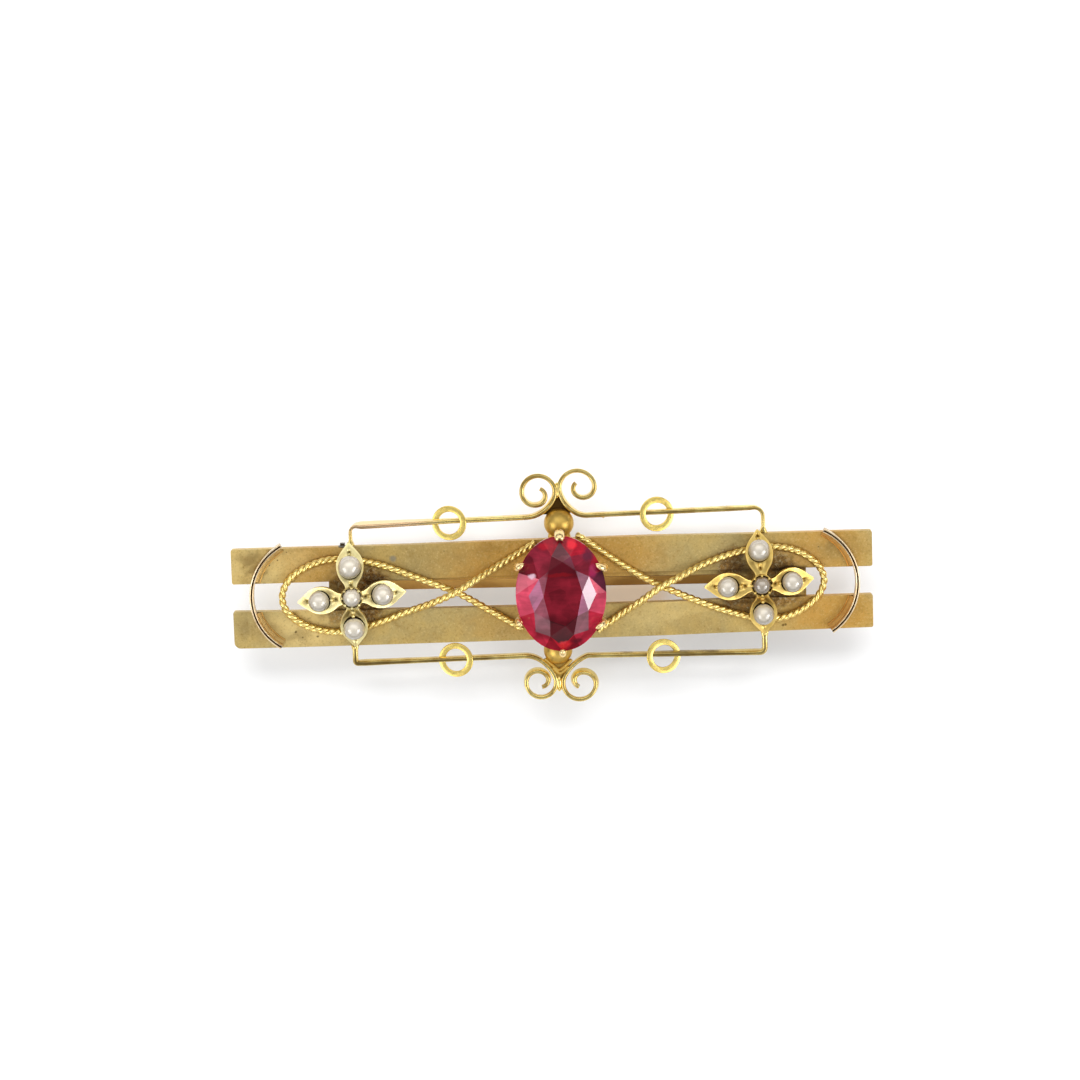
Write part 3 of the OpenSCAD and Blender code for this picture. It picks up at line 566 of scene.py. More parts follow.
# Golds: colours of the bright and the duller gold, roughness, and share of the duller one where it shows.
# Then, where they aren't the usual ones, the colour of dirt and painted shade, the strength of the bumps, and
# rosy places.
GOLDS = {
    "wire_gold": [(255, 230, 146), (222, 184, 98), 0.1, 0.7, GRIME_AND_SHADE, 0.15, [[-14.6, 6.3, 4.2, 1.0]]],
    "arc_gold": [(255, 236, 200), (240, 206, 156), 0.26, 0.6],
    "rope_gold": [(255, 230, 146), (244, 206, 118), 0.24, 0.5, srgb(128, 76, 22), 0.12],
    "petal_gold_left": [(250, 236, 174), (220, 198, 132), 0.28, 0.8],
    "petal_gold_right": [(242, 210, 124), (222, 186, 96), 0.28, 0.7],
    "satin_gold": [(222, 186, 98), (204, 166, 82), 0.36, 0.6],
    "rose_gold": [(254, 226, 166), (240, 206, 138), 0.22, 0.4, GRIME_AND_SHADE, 0.2],
    "ring_gold": [(250, 222, 128), (236, 202, 108), 0.16, 0.5, GRIME_AND_SHADE, 0.12],
    "seam_gold_left": [(238, 202, 130), (218, 176, 104), 0.4, 0.6],
    "seam_gold_right": [(244, 190, 106), (218, 156, 76), 0.45, 0.5],
}
GOLDS = {name: bright_gold(name, *row) for name, row in GOLDS.items()}
PEARL = nacre()
GEM = gem("tourmaline", 0.85)
GEM_DEEP = gem("tourmaline_deep", 0.15)


# Bars, straps and back rail

def dress_node(name, material):
    obj = nodes[name]
    obj.data.materials.clear()
    obj.data.materials.append(material)
    return obj


def dress_bars():
    """Gold on the bars, with their edges a little rounded."""
    bars = dress_node("base_bars", GOLD_BARS)
    weld = bars.modifiers.new("weld", "WELD")
    weld.merge_threshold = 0.001 * MM
    bevel = bars.modifiers.new("bevel", "BEVEL")
    bevel.width = 0.07 * MM
    bevel.segments = 3
    bevel.angle_limit = math.radians(40)
    bevel.harden_normals = True


# Strip wires with scrolls, seen in the quadrant of positive X and Y.
# Columns: X of the leg, Y of the corner, corner radius, rise of the run in degrees, X where the scroll starts
WIRES = {
    "upper_left": [17.2, 5.87, 0.6, 1.1, 2.1],
    "upper_right": [18.2, 6.42, 0.8, -1, 3.15],
    "lower_left": [17.15, 6.12, 0.2, -0.8, 2.55],
    "lower_right": [18.15, 6.2, 0.4, -0.6, 3.05],
}
# Scrolls: bending radius and angle of each bend, from the wire to the tip
SCROLLS = {
    "upper_left": [[2.6, 30], [2.9, 30], [1.4, 210], [1.1, 115], [0.7, 130]],
    "upper_right": [[1.8, 32], [2.9, 43], [1.5, 182], [0.95, 150], [0.65, 95]],
    "lower_left": [[2.3, 36], [3.4, 32], [1.3, 213], [1, 140], [0.65, 114]],
    "lower_right": [[1, 25], [4, 34], [1.45, 194], [1.1, 128], [0.7, 135]],
}
# Flat rings: X and Y
RINGS = {"upper": [[-8.7, 5.85], [9.1, 6.1]], "lower": [[-8.5, -6.1], [9.4, -6.3]]}
RING_OUTER = 1.5
RING_INNER = 0.97
RING_THICK = 0.25
RING_TILT = 12
RING_LIFT = 0.1
# Gold balls: X, Y and radius
BALLS = {"upper": [0.7, 5.57, 1.28], "lower": [0.32, -5.5, 1.24]}
NECK_HALF = 0.9
NECK_THICK = 0.7
# Solder between the backs of two scrolls: X, Y and Z of the middle and half sizes
FILLS = {"upper": [0.62, 8.36, WIRE_Z, 0.26, 0.72, 0.37], "lower": [0.34, -8.4, WIRE_Z, 0.28, 0.76, 0.37]}
# Small drops of solder on the wires, in the same way
DROPS = [
    [4.52, 6.03, 3.5, 0.13, 0.16, 0.15], [-9.75, -6.05, 3.5, 0.32, 0.2, 0.25],
    [10.55, 6.25, 3.5, 0.3, 0.16, 0.22], [-17.2, -4.72, 3.75, 0.2, 0.2, 0.2],
    [18.2, -4.55, 3.75, 0.2, 0.25, 0.2],
]
# Solder between a ball and its scrolls: three corners, how far it is hollowed, and its dirt with painted
# shade, which makes the upper one dark
WEBS = {
    "upper": [[-0.75, 6.35], [2, 6.45], [0.65, 8.3], 0.2, 0.95],
    "lower": [[-0.9, -6.25], [1.5, -6.4], [0.36, -8.1], 0.1, 0.45],
}
WEB_HALF = 0.25
# Bright edges of that solder: X and Y from one end to the other
SEAMS = {
    "upper": [],
    "lower": [
        [[-0.83, -6.2], [-0.27, -6.72], [0.38, -7.2], [1.02, -6.76], [1.46, -6.34]],
        [[-0.15, -6.95], [0.42, -7.5], [1.15, -6.95]],
    ],
}
# Distance between two points of a wire, degrees between two points of a bend, and width of the strip in
# its scroll as a share of the usual one
WIRE_STEP = 0.07
BEND_STEP = 5
SCROLL_WIDTH = 1.14
# Strip wires as they look from the front: width of the leg and of the run as shares of the usual one,
# how far the strip leans beside its corner and from its ring onwards, in degrees, and its dark top line of
# dirt and painted shade
WIRE_LOOKS = {
    "upper_left": [0.8, 1.15, 30, 4, 0.4],
    "upper_right": [0.85, 1.0, 6, 3, 0.8],
    "lower_left": [1.2, 1.15, 8, 4, 0.85],
    "lower_right": [1.2, 1.0, 8, 6, 0.85],
}


def bends(rows, start, facing, side):
    """Points along a run of bends, each a radius and an angle."""
    points, here = [], np.array(start, float)
    for radius, angle in rows:
        count = math.ceil(angle / BEND_STEP)
        middle = here + side * radius * heading(facing + 90)
        for k in range(count):
            points.append(middle - side * radius * heading(facing + side * angle * k / count + 90))
        here = middle - side * radius * heading(facing + side * angle + 90)
        facing += side * angle
    points.append(here)
    return points


def wire_line(name, side_x, side_y):
    leg, corner_y, radius, rise, scroll_x = WIRES[name]
    facing = 180 - rise
    corner = bends([[radius, facing - 90]], [leg, corner_y - radius], 90, 1)
    run = (corner[-1][0] - scroll_x) / math.cos(math.radians(rise))
    start = corner[-1] + run * heading(facing)
    foot = side_y * edge_at(side_x * leg, side_y, "far") + HAIR
    flat = np.array([[leg, foot], *corner, *bends(SCROLLS[name], start, facing, -1)])
    flat = resampled(flat * [side_x, side_y], WIRE_STEP)
    return np.column_stack([flat, np.full(len(flat), WIRE_Z)])


def strip_wire(name, side_x, side_y, seed):
    """Strip on edge with a flared foot. It leans beside its corner, and twists a little in its scroll."""
    line = wire_line(name, side_x, side_y)
    count = len(line)
    leg_x, *_, scroll_x = WIRES[name]
    leg, run, corner_lean, ring_lean, grime_and_shade = WIRE_LOOKS[name]
    travel = np.linspace(0, count * WIRE_STEP, count)
    corner_at = WIRES[name][1] - side_y * edge_at(0, side_y, "far")
    ring_at = corner_at + leg_x - abs(RINGS[name[:5]][0][0])
    scroll_at = corner_at + leg_x - scroll_x
    width = np.interp(travel, [0, 0.5, corner_at, corner_at + 1, ring_at], [1.9, leg, leg, run, 1.0])
    width *= 1 + 0.07 * wander(count, seed, 12)
    scale = np.column_stack([width, 1 + 0.03 * wander(count, seed + 1, 6)])
    lean = np.interp(
        travel,
        [corner_at, corner_at + 0.8, ring_at, scroll_at, scroll_at + 2],
        [0, corner_lean, ring_lean, ring_lean, 9],
    )
    in_scroll = np.interp(travel, [scroll_at, scroll_at + 2], [0, 1])
    width *= 1 + (SCROLL_WIDTH - 1) * in_scroll
    lean += (2.5 + 6.5 * in_scroll) * wander(count, seed + 3, 9)
    line[:, 2] += 0.03 * wander(count, seed + 2, 4)
    section = strip_section(WIRE_WIDTH, WIRE_DEPTH, 0.15)
    part = swept(line, section, scale, -side_x * lean)
    # Random patches of dirt, and a dark line of dirt and painted shade along the middle of the top
    patches = np.clip(1.3 * wander(count, seed + 5, 16) - 0.5, 0, 0.6)
    patches *= 1 - 0.6 * in_scroll
    line_dirt_and_shade = np.interp(travel, [0, corner_at, scroll_at, scroll_at + 1.5], [0.3, grime_and_shade, grime_and_shade, 0.45])
    front = np.exp(-((np.arctan2(section[:, 1], section[:, 0]) - math.pi / 2) / 0.35) ** 2)
    line_dirt_and_shade *= 1 + 0.5 * wander(count, seed + 6, 20)
    dirt_and_shade = np.maximum(patches[:, None], np.outer(line_dirt_and_shade, front))
    return soiled_and_shaded(part, np.clip(dirt_and_shade, 0, 0.85).ravel())


def flat_ring(x, y, seed):
    turn = np.linspace(0, 2 * math.pi, 96, endpoint=False)
    middle = (RING_OUTER + RING_INNER) / 2
    lean = math.radians(RING_TILT if x < 0 else -RING_TILT)
    across = np.array([math.cos(lean), 0, math.sin(lean)])
    outwards = np.outer(np.cos(turn), across) + np.outer(np.sin(turn), [0, 1, 0])
    line = np.array([x, y, WIRE_Z + RING_LIFT]) + middle * outwards
    upright = np.array([-math.sin(lean), 0, math.cos(lean)])
    section = strip_section(RING_OUTER - RING_INNER, RING_THICK, 0.07)
    scale = 1 + 0.05 * np.sin(turn * 2 + seed)
    rings = [section_at(p, out * wide, upright, section) for p, out, wide in zip(line, outwards, scale)]
    return loft(rings, closed=True)


def neck(x, y, side):
    """Solder between a ball and the edge of the bar."""
    section = strip_section(2 * NECK_HALF, NECK_THICK, 0.3)
    start = edge_at(x, side, "far") + side * HAIR
    rings = []
    for share in np.linspace(0, 1, 8):
        flare = np.array([1 + 0.12 * (1 - share) ** 4, 0, 0])
        rings.append(section_at([x, start + share * (y - start), WIRE_Z], flare, UP, section))
    return loft(rings)


def web(corners, low, high, sag):
    """Solder between three corners, hollowed on the front."""
    a, b, c = (np.array(p, float) for p in corners)
    rows = 10
    rings = []
    for i in range(rows + 1):
        t = i / rows * 0.98
        left, right = a + (c - a) * t, b + (c - b) * t
        across = np.linspace(0, 1, 9)[:, None]
        top = left + (right - left) * across
        dip = high - sag * 4 * across * (1 - across) * (1 - t)
        front = np.column_stack([top, dip])
        back = np.column_stack([top, np.full(9, low)])[::-1]
        rings.append(np.concatenate([front, back]))
    return loft(rings)


def wire_frame(row, side, seed):
    """Strip wires, rings, ball and solder over or under the bars."""
    rings = [flat_ring(x, y, seed + i) for i, (x, y) in enumerate(RINGS[row])]
    piece(f"{row}_rings", rings, GOLDS["ring_gold"])
    wires = [
        strip_wire(f"{row}_left", -1, side, seed),
        strip_wire(f"{row}_right", 1, side, seed + 10),
        ball_mesh(FILLS[row][:3], FILLS[row][3:], 4),
        *[ball_mesh(drop[:3], drop[3:], 3) for drop in DROPS if drop[1] * side > 0],
    ]
    piece(f"{row}_wires", wires, GOLDS["wire_gold"], [f"wire_frame_{row}"])
    x, y, radius = BALLS[row]
    verts, faces = ball_mesh((x, y, WIRE_Z), radius, 5)
    flat = edge_at(x, side, "far") + side * HAIR
    verts[:, 1] = side * np.maximum(side * verts[:, 1], side * flat)
    piece(f"{row}_ball", [(verts, faces), neck(x, y, side)], GOLDS["satin_gold"])
    *corners, sag, dirt_and_shade = WEBS[row]
    solder = [soiled_and_shaded(web(corners, WIRE_Z - WEB_HALF, WIRE_Z + WEB_HALF, sag), dirt_and_shade)]
    for seam in SEAMS[row]:
        route = resampled(smooth_route(seam), 0.1)
        route = np.column_stack([route, np.full(len(route), WIRE_Z + WEB_HALF)])
        solder.append(swept(route, round_section(0.14, 12)))
    piece(f"{row}_solder", solder, GOLDS["satin_gold"])


# Twisted wires: X, Y and, where they don't lie on the bars, height of the middle over the bars
LIE = HAIR + 0.31
OVER = LIE + 0.52
RAMP = OVER - 0.1
UNDER = LIE - 0.15
ROUTES = {
    "left": [
        [-1.4, 4], [-4.4, 2.25], [-6.6, 1, RAMP], [-8.4, -0.05, OVER], [-10.4, -0.9, RAMP], [-12.4, -1.6],
        [-15.8, -2.75], [-18.5, -3.2], [-21, -2.7], [-22.7, -1.5], [-23.2, 0], [-22.4, 1.6], [-20.4, 2.75],
        [-18.2, 3.1], [-14.8, 2.5], [-11.4, 1.2], [-8.4, -0.05, UNDER], [-5.8, -1.5], [-2.7, -3.4],
    ],
    "right": [
        [3.8, -3.75], [5.8, -2.4], [7.6, -1.2, RAMP], [9.3, -0.05, OVER], [11.1, 0.85, RAMP], [13.2, 1.8],
        [16.2, 2.75], [18.8, 3.05], [21, 2.65], [22.7, 1.5], [23.3, 0], [22.5, -1.6], [20.4, -2.9],
        [18, -3.15], [15, -2.4], [12, -1.25], [9.3, -0.05, UNDER], [6.6, 1.5], [2.2, 4.6],
    ],
}
STRAND_RADIUS = 0.2
STRAND_REACH = 0.12
STRAND_SIDES = 10
LAY_LENGTH = 1.2


def rope(name):
    route = [[*place, LIE][:3] for place in ROUTES[name]]
    line = resampled(smooth_route(route), 0.06) + [0, 0, BAR_TOP]
    side, up = frames(line)
    run = np.arange(len(line)) * np.linalg.norm(line[1] - line[0])
    parts = []
    for start in (0, math.pi):
        turn = (start - 2 * math.pi * run / LAY_LENGTH)[:, None]
        strand = line + STRAND_REACH * (side * np.cos(turn) + up * np.sin(turn))
        part = swept(strand, round_section(STRAND_RADIUS, STRAND_SIDES))
        # Painted shade with dirt in the grooves between the strands, darker the deeper a point lies
        depth = np.linalg.norm(part[0].reshape(len(line), STRAND_SIDES, 3) - line[:, None], axis=2)
        parts.append(soiled_and_shaded(part, np.clip((0.24 - depth.ravel()) / 0.07, 0, 1)))
    piece(f"twisted_wire_{name}", parts, GOLDS["rope_gold"], [f"rope_{name}"])


# End arcs: centre X, centre Y and direction of the middle
ARCS = {"left": [-20.75, 0, 178.6], "right": [21.1, -0.13, 3.6]}
ARC_RADIUS = 5.05
ARC_HALF_ANGLE = 60
# Section of an arc, with a groove on top: distance inwards from its middle, height over the bars, and dirt
# with painted shade, darkest in the groove and at the foot
ARC_SECTION = [
    [-0.18, 0, 0.5], [0.18, 0, 0.5], [0.18, 0.9, 0], [0.17, 0.97, 0], [0.13, 1.0, 0], [0.07, 0.98, 0.2],
    [0.045, 0.93, 1], [-0.045, 0.93, 1], [-0.07, 0.98, 0.2], [-0.13, 1.0, 0], [-0.17, 0.97, 0],
    [-0.18, 0.9, 0],
]
# Section of the solder along an arc's foot: distance inwards from the arc's wall, height, and dirt with
# painted shade, clean on its ridge
ARC_SEAM = [
    [-0.05, 0, 0.2], [-0.05, 0.16, 0.2], [0.04, 0.14, 0.3], [0.12, 0.06, 0.35], [0.3, 0.03, 0.3],
    [0.335, 0.05, 0], [0.37, 0.07, 0], [0.405, 0.05, 0], [0.42, 0, 0.3],
]


def curved_strip(centre, radius, angles, section):
    """Section carried along part of a circle on the bars, with its first column towards the centre."""
    section = np.array(section)
    rings = []
    for angle in angles:
        out = np.append(heading(angle), 0)
        rings.append(section_at([*centre, BAR_TOP + HAIR] + radius * out, -out, UP, section))
    return soiled_and_shaded(loft(rings), np.tile(section[:, 2], len(angles)))


def end_arc(name):
    """Strip on edge with a groove along its top, and solder along its foot where it lies on a bar."""
    x, y, middle = ARCS[name]
    centre = np.array([x, y])
    angles = np.linspace(middle - ARC_HALF_ANGLE, middle + ARC_HALF_ANGLE, 100)
    strip = curved_strip(centre, ARC_RADIUS, angles, ARC_SECTION)
    wall = ARC_RADIUS + ARC_SECTION[0][0]
    foot = np.array([centre + (wall - 0.2) * heading(angle) for angle in angles])
    seams = []
    for side in (-1, 1):
        height = side * foot[:, 1]
        near = side * edge_at(foot[:, 0], side, "near")
        far = side * edge_at(foot[:, 0], side, "far")
        on_bar = (height > near + 0.05) & (height < far - 0.05)
        seams.append(curved_strip(centre, wall, angles[on_bar], ARC_SEAM))
    piece(f"{name}_arc_solder", seams, GOLDS[f"seam_gold_{name}"], sharp=50)
    piece(f"{name}_end_arc", [strip], GOLDS["arc_gold"], [f"end_arc_{name}"], sharp=50)


# Flowers: X and Y of the middle
FLOWERS = {"left": [-17.15, 0.02], "right": [17.85, 0.05]}
# Petals: direction, reach of the tip, reach of the pearl and pearl diameter, all seen from the front,
# and how steeply the petal is hollowed between its pearl and the middle
PETALS = {
    "left": [
        [92.4, 4.6, 2.6, 1.98, 0.15], [186.5, 4.8, 2.87, 1.8, 0.15],
        [271.5, 4.6, 2.78, 1.86, 0.6], [2, 4.62, 2.65, 1.86, 0.15],
    ],
    "right": [
        [92.8, 4.63, 2.95, 1.88, 0.3], [183.5, 4.88, 2.9, 1.8, 0.25],
        [273, 4.57, 2.6, 1.82, 0.5], [2.9, 4.57, 2.65, 1.8, 0.15],
    ],
}
DROOP = math.radians(22)
FLOWER_LIFT = 2.45
PETAL_WIDTH = 2.36
PETAL_THICK = 0.4
PETAL_ROOT = 0.75
PETAL_RIM = 0.06
# Painted shade: how much duller a petal is inside its rim
PETAL_SHADE = 0.14
# Slope of its hollow beyond the pearl
OUTER_HOLLOW = 0.14
# Petal outline: share of the length and share of the half width
OUTLINE = [
    [0, 0.4], [0.1, 0.48], [0.25, 0.8], [0.38, 0.96], [0.5, 1], [0.62, 0.94],
    [0.74, 0.74], [0.86, 0.42], [0.94, 0.2], [1, 0.05],
]
PEARL_PROUD = 0.35
CENTRE_PEARL = 1.56
CENTRE_LIFT = FLOWER_LIFT - 0.25


def petal(flower, row):
    direction, tip, pearl_reach, pearl, inner_hollow = row
    origin = np.array([*FLOWERS[flower], BAR_TOP + FLOWER_LIFT])
    out = np.append(heading(direction), 0)
    side = np.cross(UP, out)
    forward = out * math.cos(DROOP) - UP * math.sin(DROOP)
    up = out * math.sin(DROOP) + UP * math.cos(DROOP)
    start = PETAL_ROOT / math.cos(DROOP)
    length = tip / math.cos(DROOP) - start
    middle = (pearl_reach - PEARL_PROUD * math.sin(DROOP)) / math.cos(DROOP)
    shares = smooth_route(OUTLINE, 12)
    half = np.column_stack([start + length * shares[:, 0], PETAL_WIDTH / 2 * shares[:, 1]])
    outline = np.concatenate([half * [1, -1], half[::-1]]) - [middle, 0]
    angle = np.arctan2(outline[:, 1], outline[:, 0])
    reach = np.linalg.norm(outline, axis=1)
    order = np.argsort(angle)
    turn = np.linspace(-math.pi, math.pi, 144, endpoint=False)
    edge = np.interp(turn, angle[order], reach[order], period=2 * math.pi)

    seat = math.sqrt((pearl / 2) ** 2 - PEARL_PROUD**2) + 0.06
    grain_at = pearl / 2 + 0.16

    def pits(x, y):
        """One in the middle of the cut behind each grain."""
        return sum(
            np.exp(-((x - sign * (grain_at + 0.29)) / 0.17) ** 2 - (y / 0.1) ** 2) for sign in (-1, 1)
        )

    def height(x, y):
        """Hollow of the petal, deeper on the side named in its row, and the cuts behind the grains."""
        width = np.interp(x + middle, half[:, 0], half[:, 1], left=half[0, 1], right=0.02)
        inside = np.clip(width - np.abs(y) - PETAL_RIM, 0, None)
        beyond = np.clip((np.abs(x) - 0.5 * pearl / 2) / 0.4, 0, 1)
        slope = np.where(x < 0, inner_hollow, OUTER_HOLLOW)
        return -slope * np.minimum(inside, 0.45) * beyond - 0.22 * pits(x, y)

    rings, dirt_and_shade = [], []

    def ring(radius, level, grime_and_shade=0.0):
        x, y = radius * np.cos(turn), radius * np.sin(turn)
        z = level(x, y) if callable(level) else np.full_like(x, level)
        rings.append(origin + np.outer(x + middle, forward) + np.outer(y, side) + np.outer(z, up))
        dirt_and_shade.append(np.maximum(grime_and_shade, np.clip(1.3 * pits(x, y) - 0.35, 0, 1)))

    # Painted shade: dark in the pearl's seat and under the edge, duller inside the rim; the cuts behind the
    # grains are darker too
    floor = pearl * 0.33
    ring(np.minimum(edge * 0.9, floor), -PETAL_THICK, 1)
    ring(np.minimum(edge * 0.9, seat - 0.1), -PETAL_THICK * 0.75, 1)
    ring(np.minimum(edge * 0.93, seat - 0.02), -0.14, 1)
    ring(np.minimum(edge * 0.95, seat), lambda x, y: height(x, y) - 0.03, 0.6)
    inner = np.minimum(edge * 0.95, seat + 0.02)
    for share in np.linspace(0, 1, 17):
        shade = np.clip((0.9 - share) / 0.15, 0, 1) * PETAL_SHADE
        ring(inner + (edge * 0.985 - inner) * share, height, shade)
    ring(edge, -0.03)
    ring(edge, -PETAL_THICK + 0.05, 0.3)
    ring(edge * 0.97, -PETAL_THICK, 0.3)
    body = soiled_and_shaded(loft(rings, closed=True), np.concatenate(dirt_and_shade))

    grains = [
        ball_mesh(origin + forward * (middle + sign * grain_at) + up * 0.03, 0.16, 3) for sign in (-1, 1)
    ]
    return [body, *grains]


def collet(flower):
    """Ring that holds the middle pearl, with its grains and the post under it."""
    middle = np.array([*FLOWERS[flower], BAR_TOP + CENTRE_LIFT])
    hole = CENTRE_PEARL / 2 + 0.05
    bottom = -CENTRE_PEARL / 2 - 0.4
    post = HAIR - 0.3 - CENTRE_LIFT
    wall = [
        [hole, 0.02], [hole + 0.03, 0.1], [0.9, 0.14], [0.96, 0.08], [0.97, -0.1], [0.92, -0.5],
        [0.9, bottom + 0.1], [0.8, bottom], [0.5, bottom - 0.05], [0.5, post], [0.02, post],
        [0.02, -0.86], [0.45, -0.8], [hole - 0.12, -0.4],
    ]
    grains = [
        ball_mesh(middle + np.append(0.86 * heading(angle), 0.14), [0.13, 0.13, 0.12], 3)
        for angle in range(0, 360, 45)
    ]
    circle = round_section(1, 72)
    body = loft([section_at(middle + z * UP, [r, 0, 0], [0, r, 0], circle) for r, z in wall], closed=True)
    across = np.hypot(*(body[0][:, :2] - middle[:2]).T)
    # Painted shade on the inner wall of the hole under the middle pearl
    inside = (across < hole + 0.01) & (body[0][:, 2] > middle[2] - 0.9)
    return [soiled_and_shaded(body, inside), *grains]


def flower(name):
    parts = collet(name)
    for row in PETALS[name]:
        parts += petal(name, row)
    piece(f"{name}_flower", parts, GOLDS[f"petal_gold_{name}"], [f"flower_{name}"], sharp=50)


# How much dirtier than the left pearls the right ones are, and the one in their middle
RIGHT_DULL = 0.12
CENTRE_DULL = 0.62


def pearls():
    """Each seed pearl, a little out of round."""
    rng = np.random.default_rng(7)
    for node in sorted(n for n in nodes if n.startswith("pearl_")):
        middle, size = extent(node)
        verts, faces = ball_mesh((0, 0, 0), 1, 5)
        lumps = rng.normal(size=(4, 3))
        swell = 1 + 0.006 * sum(np.sin(2.2 * verts @ lump + rng.uniform(0, 6)) for lump in lumps)
        dull = RIGHT_DULL if node.startswith("pearl_right") else 0
        if node == "pearl_right_centre":
            dull = CENTRE_DULL
        # Painted shade: darker towards the rim and in the seat. The right pearls are dirtier.
        rim = np.clip((0.86 - verts[:, 2]) / 0.9, 0, 0.45)
        dirt_and_shade = np.clip(rim + np.clip((-0.15 - verts[:, 2]) / 0.3, 0, 0.5) + dull, 0, 1)
        verts = middle + verts * (swell * size[2] / 2)[:, None] * 0.995
        piece(f"seed_{node}", [(verts, faces, dirt_and_shade)], PEARL, [node])


# Stone and setting
STONE = np.array([0.69, 0.1])
HALF_SIZE = extent("tourmaline")[1][:2] / 2
GIRDLE_Z = BAR_TOP + 3.5
# Claws: place round the girdle, share of the full reach over the stone, width of the bent end
# against the wire, and whether it is forked
CLAWS = [
    [24, 1, 1.3, False], [90, 0.8, 1.6, True], [152.5, 0.75, 1.3, False], [206, 0.5, 1, False],
    [270, 0.7, 1.1, False], [330, 1, 1.2, False],
]
# Distance outside the girdle where the claws bend over, height over it where they begin to,
# and how strongly the bent ends turn to lie across the brooch
CLAW_BEND = 0.29
CLAW_BEND_FROM = -0.9
CLAW_LEVEL = 0.75
# Notch in the end of a forked claw: its half width as a share of the claw's, where it begins as a share
# of the claw's length, and its depth
CLAW_NOTCH = 0.45
NOTCH_START = 0.81
NOTCH_DEPTH = 0.3
# Shape of a claw: distance outside the girdle, height over the girdle and wire radius
CLAW_SHAPE = [
    [-1.1, -3.25, 0.3], [-0.55, -2.1, 0.28], [0, -1.05, 0.27], [0.28, -0.3, 0.26],
    [0.29, 0.15, 0.25], [0.12, 0.52, 0.26], [-0.2, 0.68, 0.26], [-0.48, 0.7, 0.18],
]


def girdle(angle):
    """Point and outward direction on the girdle."""
    return HALF_SIZE * heading(angle), unit(heading(angle) / HALF_SIZE)


def claw(angle, reach, width, forked):
    """Claw bent over the stone, whose end turns to lie across the brooch."""
    point, out = girdle(angle)
    rows = smooth_route(CLAW_SHAPE, 6)
    bent = np.clip(rows[:, 1] - CLAW_BEND_FROM, 0, 1)
    inwards = (CLAW_BEND - rows[:, 0]) * (1 + (reach - 1) * bent)
    level = np.sign(round(point[1], 3)) * CLAW_LEVEL * abs(out[0]) * inwards * bent
    line = np.column_stack([
        STONE[0] + point[0] + (CLAW_BEND - inwards) * out[0],
        STONE[1] + point[1] + (CLAW_BEND - inwards) * out[1] + level,
        GIRDLE_Z + rows[:, 1],
    ])
    side = np.array([-out[1], out[0], 0])
    up = unit(np.cross(along(line), side))
    section = round_section(1, 16)
    radius = rows[:, 2:]
    wide = side * radius * (1 + (width - 1) * bent)[:, None]
    rings = np.array([section_at(*row, section) for row in zip(line, wide, up * radius)])
    if forked:
        notch = np.clip((CLAW_NOTCH - np.abs(section[:, 0])) / CLAW_NOTCH, 0, 1) ** 0.5
        start = round(NOTCH_START * len(rows))
        depth = np.linspace(0, NOTCH_DEPTH, len(rows) - start)
        rings[start:] += depth[:, None, None] * np.outer(notch, np.append(out, 0))
    return loft(rings)


def oval_ring(inset, half, low, high):
    """Ring of even width round the stone's outline."""
    section = strip_section(2 * half, high - low, 0.07)
    rings = []
    for angle in np.linspace(0, 360, 120, endpoint=False):
        point, out = girdle(angle)
        middle = np.append(STONE + point - inset * out, (low + high) / 2)
        rings.append(section_at(middle, np.append(out, 0), UP, section))
    return loft(rings, closed=True)


def setting():
    parts = [
        oval_ring(1.1, 0.3, BAR_TOP + HAIR, BAR_TOP + HAIR + 0.6),
        oval_ring(0.36, 0.23, GIRDLE_Z - 1.2, GIRDLE_Z - 0.7),
        *[claw(*row) for row in CLAWS],
    ]
    piece("claws_and_gallery", parts, GOLDS["rose_gold"], ["claw_setting"])


# Facets of the crown, from the right one round. X and Y are from the middle of the stone.
TABLE = [
    [1.8, 0.3], [1.27, 2.14], [0.2, 2.88], [-1.0, 2.14], [-1.49, -0.03], [-1.0, -2.11], [0.3, -2.61],
    [1.35, -1.76],
]
STAR_ENDS = [
    [2.41, 1.49], [1.19, 3.2], [-0.61, 3.45], [-1.89, 1.82], [-2.33, -1.57], [-1.12, -3.49], [1.08, -3.4],
    [2.29, -1.36],
]
CROWN = 1.1
# How far inside the girdle each kite ends, and the slope of the crown outside it
KITE_INSETS = [0.86, 0.5, 0.45, 0.5, 1.1, 0.6, 0.5, 0.6]
OUTER_SLOPE = 0.62
GIRDLE_THICK = 0.22
PAVILION = 3.3
PAVILION_SPLIT = 0.75
MAINS = 8
# Short edges that stand in for the curve of each sixteenth of the girdle
ROUNDING = 4
# Painted tones of the facets, standing in for the light and shade seen in each
TONES = {
    "night": (88, 20, 30), "wine": (118, 24, 38), "purple": (108, 42, 64), "plum": (136, 34, 52),
    "grey": (112, 60, 68), "mauve": (142, 74, 88), "dusk": (152, 84, 106), "lilac": (172, 96, 128),
    "crimson": (164, 28, 46), "red": (212, 36, 54), "rose": (204, 46, 70), "pink": (224, 80, 106),
    "pale": (234, 98, 122), "blush": (168, 92, 120),
}
# Tone of each facet, from the right one round, and which kite and star catch the side panels
KITES = ["blush", "plum", "grey", "plum", "lilac", "mauve", "night", "mauve"]
STARS = ["dusk", "purple", "night", "mauve", "mauve", "night", "night", "lilac"]
GLOSSY = 0
